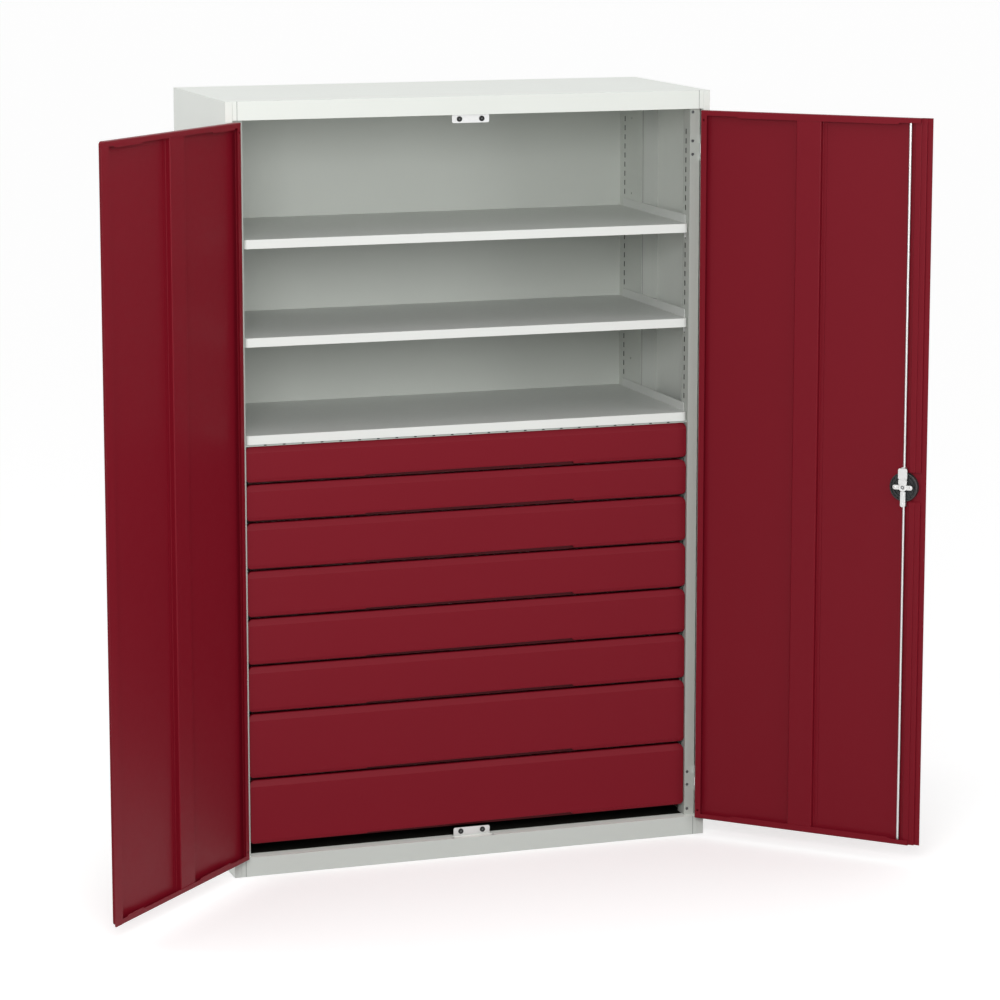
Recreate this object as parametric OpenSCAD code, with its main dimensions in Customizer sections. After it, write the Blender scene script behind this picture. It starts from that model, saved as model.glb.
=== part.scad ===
// Tool cabinet with two hinged doors, three shelves and eight drawers.
// Millimetres. +X right, +Y to the back, +Z up. The origin is the centre of the
// cabinet's footprint on the floor. The doors stand open, as they are stored.

/* [Carcass] */
// Overall width of the cabinet
cab_w = 1300; // [1200:10:1500]
// Overall depth of the cabinet
cab_d = 550; // [540:5:650]
// Overall height of the cabinet
cab_h = 2000; // [1900:10:2200]
// Thickness of the carcass sheet
sheet_t = 1.5; // [1.2:0.1:1.8]
// Thickness of the roof sheet
roof_t = 1.5; // [1.2:0.1:2.5]
// Width of the side panel's front strip
strip_w = 18; // [15:1:25]
// Depth of the side panel's front strip
strip_depth = 20; // [16:1:24]
// Height of the fascia over the doors
fascia_h = 47.5; // [40:0.5:60]
// Height of the plinth under the doors
plinth_h = 50; // [42:1:56]
// Depth of the ledge on the plinth
ledge_d = 38; // [34:1:60]
// Step from the ledge down to the floor tray
floor_step = 10; // [6:1:14]
// Distance of the back panel from the rear edge
back_recess = 15; // [12:1:20]
// Width of the rail under the middle of the floor
rail_w = 60; // [40:5:100]
// Width of the side panel's rear return
rear_return = 30; // [20:1:40]
// Depth of the fascia's return over the doors
fascia_return = 35; // [30:1:45]
// Width of the base's foot flanges
foot_flange = 25; // [20:1:40]
// Running gap between folded panels that meet
seam_gap = 0.3; // [0.2:0.05:0.5]

/* [Posts] */
// Distance of the posts' inner faces from the front strips
post_inset = 29.5; // [26:0.5:36]
// Depth of the front post
front_post_d = 47; // [44:1:60]
// Depth of the rear post
rear_post_d = 168; // [80:1:180]
// Pitch of the shelf slots
slot_pitch = 25; // [20:5:50]
// Height of a shelf slot
slot_h = 14; // [8:1:16]
// Width of a shelf slot
slot_w = 6; // [4:0.5:8]
// Height of the highest slot below the roof
slot_top_drop = 110; // [80:5:160]
// Distance of the front slots from the post's front
slot_front_in = 28.5; // [20:0.5:30]
// Distance of the rear slots from the back panel
slot_rear_in = 37; // [24:1:60]
// Distance of the rear post's round holes from the back panel
round_hole_in = 89; // [60:1:120]
// Radius of the rear post's round holes
round_hole_r = 3; // [2:0.5:4]

/* [Shelves] */
// Space between the drawers and the lowest shelf's edge
shelf_over = 6; // [5:1:40]
// Distance from shelf to shelf
shelf_step = 250; // [200:25:300]
// Thickness of the shelf sheet
shelf_t = 1.2; // [1:0.1:1.5]
// Height of the shelf's front edge
shelf_lip = 23; // [20:1:26]
// Height of the shelf's side upstands
shelf_side_h = 22; // [15:1:30]
// Radius of the shelf's front corners
shelf_corner_r = 12; // [8:1:16]
// Clearance between a shelf and the posts
shelf_gap = 1; // [0.5:0.1:2]

/* [Drawers] */
// Height of a small drawer
small_h = 100; // [95:1:104]
// Height of a middle drawer
middle_h = 125; // [120:1:127]
// Height of a large drawer
large_h = 175; // [165:1:177]
// Height of the drawer stack over the plinth
stack_lift = 21; // [16:1:24]
// Gap between two drawer fronts
front_gap = 3; // [2:0.5:4]
// Depth of a drawer front
front_d = 20; // [18:1:24]
// Setback of the drawer fronts behind the doors
front_back = 5; // [4:0.5:8]
// Thickness of the drawer sheet
drawer_t = 1.2; // [1:0.1:1.5]
// Height of the bevel on top of a front
bevel_h = 14; // [10:1:16]
// Depth of the bevel on top of a front
bevel_d = 8; // [5:0.5:10]
// Size of the bevel under a front
under_bevel = 5; // [3:0.5:6]
// Radius of a front's upper corners
corner_top = 14; // [8:1:18]
// Radius of a front's lower corners
corner_low = 10; // [6:1:12]
// Width of the finger recess
grip_w = 556; // [300:4:700]
// Height of the finger recess
grip_h = 9; // [7:0.5:10]
// Depth of the finger recess
grip_d = 13; // [10:0.5:15]
// Clearance between a front and the posts
side_clear = 1.5; // [1:0.1:3]
// Depth of a drawer box
box_d = 470; // [400:5:480]
// Drop of the box side below the front's top
box_drop = 14; // [10:1:20]
// Height of the box over the front's lower edge
box_lift = 8; // [5:1:12]
// Space for the runners on each side
runner_space = 16; // [15.5:0.1:18]

/* [Runners] */
// Height of a runner
runner_h = 45; // [36:1:46]
// Thickness of the runner steel
runner_t = 1.5; // [1.2:0.1:1.8]
// Clearance between the runner members
runner_gap = 0.3; // [0.2:0.05:0.5]
// Length of a runner
runner_l = 480; // [440:5:485]

/* [Doors] */
// Thickness of a closed door
door_t = 18; // [16:0.5:20]
// Thickness of the door sheet
door_sheet = 1.2; // [1:0.1:1.5]
// Gap over the doors
top_gap = 3; // [2:0.5:5]
// Gap under the doors
foot_gap = 1.5; // [1:0.1:3]
// Gap between a door and the side strip
hinge_gap = 3; // [2.8:0.1:4]
// Gap between the doors
centre_gap = 1.6; // [1.2:0.1:3]
// Distance of the gap's middle from the cabinet's middle
gap_shift = 2.4; // [1:0.1:4]
// Width of the door's inner return
return_w = 17; // [14:1:20]
// Where the right door's end returns stop, from the cabinet's middle
return_stop = 80; // [74:1:120]
// Width of the right door's folded free edge
hem_w = 13.6; // [13:0.1:14]
// Width of each of the two ridges beside that edge
ridge_w = 14; // [12:0.5:16]
// Distance of the stiffener's middle from the hinge edge
stiff_x = 300; // [260:5:360]
// Width of the stiffener
stiff_w = 67; // [50:1:80]
// Width of the closing strip on the left door
closing_w = 34.4; // [30:0.2:36]
// How far the closing strip passes the right door's edge
closing_lap = 16; // [12:0.5:18]
// How far the doors stand open when stored, in degrees
door_open = 135; // [110:5:150]

/* [Hinges] */
// Radius of a hinge knuckle
knuckle_r = 4.5; // [4:0.1:6]
// Radius of a hinge pin
pin_r = 2.5; // [2:0.1:3]
// Radial clearance round a pin or a spindle
run_gap = 0.05; // [0.03:0.01:0.08]
// Thickness of a hinge leaf
leaf_t = 2; // [1.5:0.1:2.2]
// Height of a hinge
hinge_h = 70; // [60:1:90]
// Distance of a hinge from the door's end
hinge_end = 100; // [80:5:200]
// Distance between the hinge screws
screw_pitch = 35; // [30:1:45]

/* [Lock] */
// Distance of the lock from the cabinet's middle
lock_x = 56; // [52:0.5:60]
// Radius of the lock's inner ring
ring_r = 38; // [34:1:39]
// Radius of the lock plate on the outside
plate_r = 34; // [30:1:38]
// Radius of the knob
knob_r = 27; // [22:1:29]
// Width of the knob's grip bar
bar_w = 18; // [14:1:20]
// Radius of the spindle
spindle_r = 6; // [5:0.5:7]
// Radius of the hub
hub_r = 11; // [9:0.5:12]
// Radius of a locking rod
rod_r = 3.5; // [3:0.1:3.8]
// Radius of the holes that the rods enter
rod_hole_r = 5.5; // [5:0.1:6.5]
// Radius of the key barrel
barrel_r = 7; // [5:0.5:8]
// Width of the tongue
tongue_w = 25; // [20:1:28]
// How far the tongue laps behind the closing strip
tongue_lap = 8; // [5:0.5:9]

/* [Stops] */
// Width of a door stop plate
stop_w = 100; // [80:2:104]
// How far a stop plate stands into the opening
stop_h = 22.5; // [20:0.5:24]
// Distance of a buffer from the middle
buffer_x = 30; // [26:1:36]
// Radius of a buffer
buffer_r = 7; // [5:0.5:8]

/* [Hidden] */
$fn = 48;
eps = 0.01;
fy = -cab_d / 2;
by = cab_d / 2;
in_x = cab_w / 2 - strip_w;
skin_x = cab_w / 2 - sheet_t;
post_x = in_x - post_inset;
front_post_y = fy + door_t + 0.4;
back_y = by - back_recess;
rear_post_y = back_y - rear_post_d;
fascia_z = cab_h - fascia_h;
floor_z = plinth_h - floor_step;
roof_z = cab_h - roof_t;
ledge_y = fy + ledge_d;

door_z0 = plinth_h + foot_gap;
door_z1 = fascia_z - top_gap;
door_hx = in_x - hinge_gap;
door_back = fy + door_t;
right_edge = -gap_shift + centre_gap / 2;
left_edge = -gap_shift - centre_gap / 2;
closing_tip = right_edge + closing_lap;
pivot_x = in_x - 0.4 - leaf_t / 2;
pivot_y = fy - knuckle_r - seam_gap;
hinge_zs = [door_z0 + hinge_end, door_z1 - hinge_end];
post_z0 = plinth_h;
post_z1 = fascia_z;

stack_z = plinth_h + stack_lift;
heights = [small_h, small_h, middle_h, middle_h, middle_h, middle_h, large_h, large_h];
stack_top = stack_z + 2 * small_h + 4 * middle_h + 2 * large_h;
shelf_z = stack_top + shelf_over + shelf_lip;
shelf_y = door_back + 2;
function below(i) = i == 0 ? 0 : heights[i - 1] + below(i - 1);
function drawer_z(i) = stack_top - below(i) - heights[i];
face_y = door_back + front_back;
front_x = post_x - side_clear;
box_x = post_x - runner_space;
box_y = face_y + front_d;

lock_z = (door_z0 + door_z1) / 2;
closing_y = door_back + door_sheet;
cam_y = closing_y + 0.3;
cam_t = 2.5;
link_t = 3;
link_y = cam_y - 1.5 - link_t;
ring_y = link_y - 1;
rod_y = fy + door_t / 2;
arm_r = 27;
arm_w = 12;
link_w = 14;
link_z = hub_r + 0.5;
clevis_z = ring_r + 2;
rod_z = clevis_z + 6;
ridge_d = 11;
stop_back = 3;
stop_t = 1.5;
stop_foot = 12;

front_slot_y = front_post_y + slot_front_in;
rear_slot_y = back_y - slot_rear_in;
slot_top = cab_h - slot_top_drop;
slot_n = floor((slot_top - stack_z) / slot_pitch);
round_hole_drops = [105, 310, 765];
shelf_side_y = min(front_slot_y - slot_w / 2 - 1, front_slot_y - 4);

carcass_white = [0.93, 0.95, 0.92];
inner_grey = [0.72, 0.74, 0.71];
deep_red = [0.45, 0.07, 0.12];
zinc = [0.8, 0.81, 0.82];
black = [0.08, 0.08, 0.08];

// A block given by its lowest and highest corners
module block(a, b) {
    translate(a) cube(b - a);
}

// A shape and its mirror image on the other side of the cabinet
module both_sides() {
    children();
    mirror([1, 0, 0]) children();
}

// A cylinder along Y from y0 to y1
module along_y(x, z, r, y0, y1) {
    translate([x, y0, z]) rotate([-90, 0, 0]) cylinder(h = y1 - y0, r = r);
}

// A door is drawn shut and swung to where it is stored
module swing_right() {
    translate([pivot_x, pivot_y, 0])
        rotate([0, 0, door_open])
            translate([-pivot_x, -pivot_y, 0]) children();
}

module swing_left() {
    mirror([1, 0, 0]) swing_right() mirror([1, 0, 0]) children();
}

// Carcass

// Outer skin with the folded front strip and the rear return
module side_panel() {
    union() {
        block([skin_x, fy, 0], [cab_w / 2, by, roof_z]);
        block([in_x, fy, 0], [cab_w / 2, fy + sheet_t, roof_z]);
        block([in_x, fy, 0], [in_x + sheet_t, fy + strip_depth, roof_z]);
        block([cab_w / 2 - rear_return, by - sheet_t, 0], [cab_w / 2, by, roof_z]);
    }
}

module side_panel_right() {
    color(carcass_white) side_panel();
}

module side_panel_left() {
    color(carcass_white) mirror([1, 0, 0]) side_panel();
}

// Shallow pan that opens to the rear
module back_panel() {
    rim = by - sheet_t;
    t = shelf_t;
    color(inner_grey) union() {
        block([-skin_x, back_y, 0], [skin_x, back_y + t, roof_z]);
        block([-skin_x, back_y, 0], [-skin_x + t, rim, roof_z]);
        block([skin_x - t, back_y, 0], [skin_x, rim, roof_z]);
        block([-skin_x, back_y, 0], [skin_x, rim, t]);
        block([-skin_x, back_y, roof_z - t], [skin_x, rim, roof_z]);
    }
}

// Roof sheet with the fascia, its return and the holes for the upper rods
module roof_panel() {
    x = in_x - seam_gap;
    return_y = fy + fascia_return;
    color(carcass_white) difference() {
        union() {
            block([-cab_w / 2, fy, roof_z], [cab_w / 2, by, cab_h]);
            block([-x, fy, fascia_z], [x, fy + sheet_t, roof_z + eps]);
            block([-x, fy, fascia_z], [x, return_y, fascia_z + sheet_t]);
            block([-x, return_y - sheet_t, fascia_z], [x, return_y, fascia_z + 18]);
        }
        for (s = [-1, 1])
            translate([s * lock_x, rod_y, fascia_z - 1]) cylinder(h = sheet_t + 2, r = rod_hole_r);
    }
}

// Plinth, ledge, floor tray, foot flanges and the rail under the middle
module base_panel() {
    x = in_x - seam_gap;
    t = sheet_t;
    color(carcass_white) difference() {
        union() {
            block([-x, fy, 0], [x, fy + t, plinth_h]);
            block([-x, fy, plinth_h - t], [x, ledge_y, plinth_h]);
            block([-x, ledge_y - t, floor_z - t], [x, ledge_y, plinth_h]);
            block([-skin_x, ledge_y - t, floor_z - t], [skin_x, back_y, floor_z]);
            block([-skin_x, back_y - t, 0], [skin_x, back_y, floor_z]);
            both_sides() {
                block([skin_x - t, ledge_y - t, 0], [skin_x, back_y, floor_z]);
                block([skin_x - foot_flange, ledge_y - t, 0], [skin_x, back_y, t]);
                block([rail_w / 2 - t, fy + t - eps, 0], [rail_w / 2, back_y, floor_z - t + eps]);
            }
            block([-x, fy, 0], [x, fy + 30, t]);
            block([-rail_w / 2, fy, 0], [rail_w / 2, back_y, t]);
        }
        for (s = [-1, 1])
            translate([s * lock_x, rod_y, plinth_h - t - 1]) cylinder(h = t + 2, r = rod_hole_r);
    }
}

// A row of shelf slots through a post's inner face, seen from the side
module slots(y) {
    for (i = [0:slot_n - 1])
        translate([y - slot_w / 2, slot_top - i * slot_pitch - slot_h / 2]) square([slot_w, slot_h]);
}

// Inner face of a post: a plate across X with its slots, drawn in Y and Z
module post_web(y0, y1, z0, z1, slot_y) {
    translate([post_x, 0, 0]) rotate([90, 0, 90]) linear_extrude(sheet_t) difference() {
        translate([y0, z0]) square([y1 - y0, z1 - z0]);
        slots(slot_y);
    }
}

module front_post() {
    t = sheet_t;
    y0 = front_post_y;
    y1 = y0 + front_post_d;
    web_end = pivot_x - leaf_t / 2 - 0.2;
    difference() {
        union() {
            post_web(y0, y1, post_z0, post_z1, front_slot_y);
            block([post_x, y0, post_z0], [web_end, y0 + t, post_z1]);
            block([post_x, y1 - t, post_z0], [skin_x, y1, post_z1]);
        }
        for (z = concat(screw_zs(), [post_z0 + 17, post_z1 - 10]))
            along_y(screw_x(), z, 4.1, y0 - 1, y0 + t + 1);
    }
}

module front_post_right() {
    color(inner_grey) front_post();
}

module front_post_left() {
    color(inner_grey) mirror([1, 0, 0]) front_post();
}

module rear_post() {
    t = sheet_t;
    y0 = rear_post_y;
    difference() {
        union() {
            post_web(y0, back_y, floor_z, roof_z, rear_slot_y);
            block([post_x, y0, floor_z], [skin_x, y0 + t, roof_z]);
        }
        for (drop = round_hole_drops)
            translate([post_x - 1, back_y - round_hole_in, cab_h - drop])
                rotate([0, 90, 0]) cylinder(h = t + 2, r = round_hole_r);
    }
}

module rear_post_right() {
    color(inner_grey) rear_post();
}

module rear_post_left() {
    color(inner_grey) mirror([1, 0, 0]) rear_post();
}

// Rail between the front posts, under the lowest shelf, with a row of holes
module slotted_rail() {
    z0 = stack_top + 0.4;
    z1 = stack_top + min(shelf_over, 12) - 0.4;
    y0 = face_y + 2;
    y1 = front_slot_y - 3;
    x = post_x - seam_gap;
    pitch = 50;
    n = floor(x / pitch) - 1;
    color(inner_grey) difference() {
        block([-x, y0, z0], [x, y1, z1]);
        block([-x - 1, y0 + sheet_t, z0 + sheet_t], [x + 1, y1 + 1, z1 + 1]);
        for (i = [-n:n])
            along_y(i * pitch, (z0 + z1) / 2, 1, y0 - 1, y0 + sheet_t + 1);
    }
}

// Shelves

module shelf_outline(grow) {
    x = post_x - shelf_gap + grow;
    y0 = shelf_y - grow;
    r = min(shelf_corner_r, (shelf_side_y - shelf_y) / 1.5) + grow;
    hull() {
        both_sides() translate([x - r, y0 + r]) circle(r);
        translate([-x, y0 + 2 * r]) square([2 * x, back_y - 1 + grow - y0 - 2 * r]);
    }
}

// Folded tray, upside down, with upstands along both sides
module shelf(z) {
    x = post_x - shelf_gap;
    t = shelf_t;
    y1 = back_y - 1;
    color(carcass_white) union() {
        difference() {
            translate([0, 0, z - shelf_lip]) linear_extrude(shelf_lip) shelf_outline(0);
            translate([0, 0, z - shelf_lip - 1]) linear_extrude(shelf_lip + 1 - t) shelf_outline(-t);
            block([-x - 1, shelf_side_y, z - shelf_lip - 1], [-x + t + eps, y1 + 1, z - t - 6]);
            block([x - t - eps, shelf_side_y, z - shelf_lip - 1], [x + 1, y1 + 1, z - t - 6]);
        }
        both_sides() block([x - t, shelf_side_y, z - t], [x, y1 - 30, z + shelf_side_h]);
    }
}

module shelf_lower() {
    shelf(shelf_z);
}

module shelf_middle() {
    shelf(shelf_z + shelf_step);
}

module shelf_upper() {
    shelf(shelf_z + 2 * shelf_step);
}

// One clip: its hook sits in a slot, its tab lies under the shelf's top sheet
module clip(y, z) {
    hook_z = slot_top - ceil((slot_top - z + 14) / slot_pitch) * slot_pitch;
    x1 = post_x - shelf_gap;
    union() {
        block([x1 - 7, y - 2, z - shelf_t - 8], [x1 - shelf_t - 0.2, y + 2, z - shelf_t]);
        block([x1 - shelf_t - 1, y - 2, hook_z - 4], [post_x - 0.1, y + 2, z - shelf_t - 7]);
        block([post_x - 1, y - 2, hook_z - 4], [post_x + 3, y + 2, hook_z + 4]);
    }
}

module shelf_clips() {
    color(zinc) both_sides()
        for (i = [0:2])
            for (y = [front_slot_y, rear_slot_y])
                clip(y, shelf_z + i * shelf_step);
}

// Door stops

// Plate behind the closed doors, over the plinth or under the fascia
module stop_plate(low) {
    y0 = door_back + stop_back;
    z0 = low ? plinth_h : fascia_z - stop_h;
    r = 5;
    x = stop_w / 2;
    edge = low ? z0 + stop_h - r : z0 + r;
    difference() {
        union() {
            block([-x, y0, low ? z0 : z0 + r], [x, y0 + stop_t, low ? z0 + stop_h - r : fascia_z]);
            for (s = [-1, 1])
                along_y(s * (x - r), edge, r, y0, y0 + stop_t);
            block([-x + r, y0, z0], [x - r, y0 + stop_t, z0 + stop_h]);
            block([-x, y0, low ? plinth_h : fascia_z - stop_t],
                  [x, y0 + stop_foot, low ? plinth_h + stop_t : fascia_z]);
        }
        for (s = [-1, 1])
            along_y(s * buffer_x, buffer_z(low), 3.05, y0 - 1, y0 + stop_t + 1);
    }
}
function buffer_z(low) = low ? plinth_h + stop_h / 2 + 1 : fascia_z - stop_h / 2 - 1;

module door_stop_plates() {
    color(zinc) {
        stop_plate(true);
        stop_plate(false);
    }
}

// Rubber buffers with a neck through the plate
module door_stop_buffers() {
    y0 = door_back + 0.3;
    y1 = door_back + stop_back;
    color(black)
        for (low = [true, false])
            for (s = [-1, 1])
                union() {
                    along_y(s * buffer_x, buffer_z(low), buffer_r, y0, y1);
                    along_y(s * buffer_x, buffer_z(low), 3, y1 - eps, y1 + stop_t + 0.4);
                }
}

// Hinges

function screw_x() = post_x + 7.5;
function screw_zs() = [for (z = hinge_zs) for (s = [-0.5, 0.5]) z + s * screw_pitch];

// A knuckle: a tube round the pivot
module knuckle(z0, z1) {
    translate([pivot_x, pivot_y, z0]) difference() {
        cylinder(h = z1 - z0, r = knuckle_r);
        translate([0, 0, -1]) cylinder(h = z1 - z0 + 2, r = pin_r + run_gap);
    }
}

// Heights that split a hinge in three knuckles
function knuckle_z(z, i) = z - hinge_h / 2 + hinge_h * i / 3;

// Leaf behind the post's front face, with two arms that end in knuckles
module frame_leaf(z) {
    t = leaf_t;
    y0 = front_post_y + sheet_t;
    x0 = post_x + sheet_t + 0.2;
    difference() {
        union() {
            block([x0, y0, z - hinge_h / 2], [pivot_x + t / 2, y0 + t, z + hinge_h / 2]);
            for (i = [0, 2])
                block([pivot_x - t / 2, pivot_y + pin_r + 1, knuckle_z(z, i)],
                      [pivot_x + t / 2, y0 + t, knuckle_z(z, i + 1)]);
            for (i = [0, 2])
                knuckle(knuckle_z(z, i), knuckle_z(z, i + 1));
        }
        for (s = [-0.5, 0.5])
            along_y(screw_x(), z + s * screw_pitch, 2.55, y0 - 1, y0 + t + 1);
    }
}

module hinge_frame_leaves() {
    color(zinc) both_sides()
        for (z = hinge_zs)
            frame_leaf(z);
}

// Leaf welded to the door's edge, with the middle knuckle
module door_leaf(z) {
    z0 = knuckle_z(z, 1) + 0.3;
    z1 = knuckle_z(z, 2) - 0.3;
    x1 = pivot_x + leaf_t / 2 - 0.2;
    union() {
        block([door_hx, pivot_y + pin_r + 1, z0], [x1, door_back - 1, z1]);
        knuckle(z0, z1);
    }
}

module door_right_hinge_leaves() {
    color(zinc) swing_right()
        for (z = hinge_zs)
            door_leaf(z);
}

module door_left_hinge_leaves() {
    color(zinc) swing_left() mirror([1, 0, 0])
        for (z = hinge_zs)
            door_leaf(z);
}

module hinge_pins() {
    color(zinc) both_sides()
        for (z = hinge_zs)
            translate([pivot_x, pivot_y, z - hinge_h / 2]) union() {
                cylinder(h = hinge_h, r = pin_r);
                translate([0, 0, hinge_h]) cylinder(h = 2, r = knuckle_r - 0.5);
                translate([0, 0, -2]) cylinder(h = 2, r = knuckle_r - 0.5);
            }
}

// Flush screws in the front posts
module frame_screws() {
    y0 = front_post_y;
    color(zinc) both_sides()
        for (z = concat(screw_zs(), [post_z0 + 17, post_z1 - 10]))
            union() {
                along_y(screw_x(), z, 4, y0 + 0.1, y0 + sheet_t);
                along_y(screw_x(), z, 2.5, y0 + sheet_t - eps, y0 + sheet_t + 6);
            }
}

// Doors, drawn shut

// Pan of the door from the hinge edge to x0, open to the inside
module door_pan(x0, top_x0) {
    t = door_sheet;
    y1 = door_back;
    union() {
        block([x0, fy, door_z0], [door_hx, fy + t, door_z1]);
        block([door_hx - t, fy, door_z0], [door_hx, y1, door_z1]);
        block([door_hx - return_w, y1 - t, door_z0], [door_hx, y1, door_z1]);
        block([x0, fy, door_z1 - t], [door_hx, y1, door_z1]);
        block([x0, fy, door_z0], [door_hx, y1, door_z0 + t]);
        block([top_x0, y1 - t, door_z1 - return_w], [door_hx, y1, door_z1]);
        block([top_x0, y1 - t, door_z0], [door_hx, y1, door_z0 + return_w]);
    }
}

// Rounded corners at the free edge of a door
module corner_cuts(x, r) {
    for (low = [0, 1])
        translate([x, fy - 1, low ? door_z0 : door_z1])
            difference() {
                block([-1, 0, low ? -1 : -r], [r, door_t + 2, low ? r : 1]);
                along_y(r, low ? r : -r, r, -1, door_t + 3);
            }
}

// Small holes through the hinge return near the door's ends
module return_holes() {
    for (z = [door_z0 + 22, door_z1 - 25])
        along_y(door_hx - return_w / 2, z, 3.5, door_back - door_sheet - 1, door_back + 1);
}

module door_right_shell() {
    t = door_sheet;
    lip = right_edge + hem_w;
    ridge_x = lip + ridge_w;
    ridge_end = ridge_x + ridge_w + 2;
    ridge_y = fy + ridge_d;
    step_y = fy + ridge_d - 3;
    low = lock_z - ring_r - 1;
    high = lock_z + ring_r + 1;
    color(deep_red) swing_right() difference() {
        union() {
            difference() {
                door_pan(lip, return_stop);
                block([lip - 1, step_y, door_z1 - t - 1], [ridge_x, door_back + 1, door_z1 + 1]);
                block([lip - 1, step_y, door_z0 - 1], [ridge_x, door_back + 1, door_z0 + t + 1]);
            }
            block([right_edge, fy, door_z0], [lip + t, fy + 2 * t, door_z1]);
            for (span = [[door_z0, low], [high, door_z1]]) {
                block([lip, fy, span[0]], [lip + t, step_y, span[1]]);
                block([lip, step_y - t, span[0]], [ridge_x + t, step_y, span[1]]);
                block([ridge_x, step_y - t, span[0]], [ridge_x + t, ridge_y, span[1]]);
                block([ridge_x, ridge_y - t, span[0]], [ridge_end, ridge_y, span[1]]);
                block([ridge_end - t, fy, span[0]], [ridge_end, ridge_y, span[1]]);
            }
        }
        corner_cuts(right_edge, 6);
        return_holes();
        along_y(lock_x, lock_z, plate_r - 6, fy - 1, fy + 3 * t);
        for (z = [door_z0 - 1, door_z1 - t - 1])
            translate([lock_x, rod_y, z]) cylinder(h = t + 2, r = rod_r + 2.4);
    }
}

module door_left_shell() {
    t = door_sheet;
    x0 = -left_edge;
    color(deep_red) swing_left() mirror([1, 0, 0]) difference() {
        union() {
            door_pan(x0, x0);
            block([x0, fy, door_z0], [x0 + t, door_back, door_z1]);
            block([x0, door_back - t, door_z0], [x0 + return_w, door_back, door_z1]);
        }
        corner_cuts(x0, 6);
        return_holes();
    }
}

// Strip welded behind the left door's edge, which the right door closes against
module door_left_closing_strip() {
    r = 5;
    x0 = closing_tip - closing_w;
    z0 = door_z0 + 1;
    z1 = door_z1 - 1;
    color(deep_red) swing_left() union() {
        block([x0, door_back, z0], [closing_tip - r, closing_y, z1]);
        block([closing_tip - r - eps, door_back, z0 + r], [closing_tip, closing_y, z1 - r]);
        for (z = [z0 + r, z1 - r])
            along_y(closing_tip - r, z, r, door_back, closing_y);
    }
}

// Top-hat stiffener inside a door
module stiffener() {
    t = door_sheet;
    x = door_hx - stiff_x;
    w = stiff_w / 2;
    y0 = fy + t;
    y1 = door_back - 1.5;
    z0 = door_z0 + t + 0.3;
    z1 = door_z1 - t - 0.3;
    color(deep_red) union() {
        for (s = [-1, 1]) {
            block([x + s * w - t / 2, y0, z0], [x + s * w + t / 2, y1, z1]);
            block([x + s * (w + 6) - 6, y0, z0], [x + s * (w + 6) + 6, y0 + t, z1]);
        }
        block([x - w, y1 - t, z0], [x + w, y1, z1]);
    }
}

module door_right_stiffener() {
    swing_right() stiffener();
}

module door_left_stiffener() {
    swing_left() mirror([1, 0, 0]) stiffener();
}

// Lock, drawn shut and unlocked

// Ring inside and plate outside, one moulding through the door
module lock_housing() {
    y_out = fy - 3;
    color(black) swing_right() difference() {
        union() {
            along_y(lock_x, lock_z, plate_r, y_out, fy - 0.05);
            along_y(lock_x, lock_z, plate_r - 6.1, fy - 0.1, ring_y);
            along_y(lock_x, lock_z, ring_r, fy + door_sheet + 0.05, ring_y - 2);
            along_y(lock_x, lock_z, ring_r - 2, fy + door_sheet + 0.05, ring_y);
        }
        along_y(lock_x, lock_z, spindle_r + run_gap, y_out - 1, ring_y + 1);
        along_y(lock_x, lock_z, knob_r + 0.5, y_out - 1, fy - 0.5);
    }
}

// Bushes that guide the rods through the door's ends
module rod_bushes() {
    flange_r = door_t / 2 - door_sheet - 0.3;
    color(black) swing_right()
        for (low = [true, false])
            translate([lock_x, rod_y, low ? door_z0 : door_z1 - 10]) difference() {
                union() {
                    cylinder(h = 10, r = rod_r + 2.2);
                    translate([0, 0, low ? door_sheet : 10 - door_sheet - 3]) cylinder(h = 3, r = flange_r);
                }
                translate([0, 0, -1]) cylinder(h = 12, r = rod_r + run_gap);
            }
}

// Turning knob with a grip bar and the spindle
module lock_knob() {
    y0 = fy - 12;
    color(black) swing_right() difference() {
        union() {
            along_y(lock_x, lock_z, knob_r, y0 + 6, fy - 0.8);
            block([lock_x - bar_w / 2, y0 - 6, lock_z - knob_r + 4],
                  [lock_x + bar_w / 2, y0 + 7, lock_z + knob_r - 4]);
            along_y(lock_x, lock_z, spindle_r, fy - 1, cam_y);
        }
        along_y(lock_x, lock_z, barrel_r + run_gap, y0 - 7, fy - 4);
    }
}

// Key barrel with its slot
module key_barrel() {
    y0 = fy - 18.5;
    color(zinc) swing_right() difference() {
        along_y(lock_x, lock_z, barrel_r, y0, fy - 4 - run_gap);
        block([lock_x - 1, y0 - 1, lock_z - 4], [lock_x + 1, y0 + 6, lock_z + 4]);
    }
}

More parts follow.
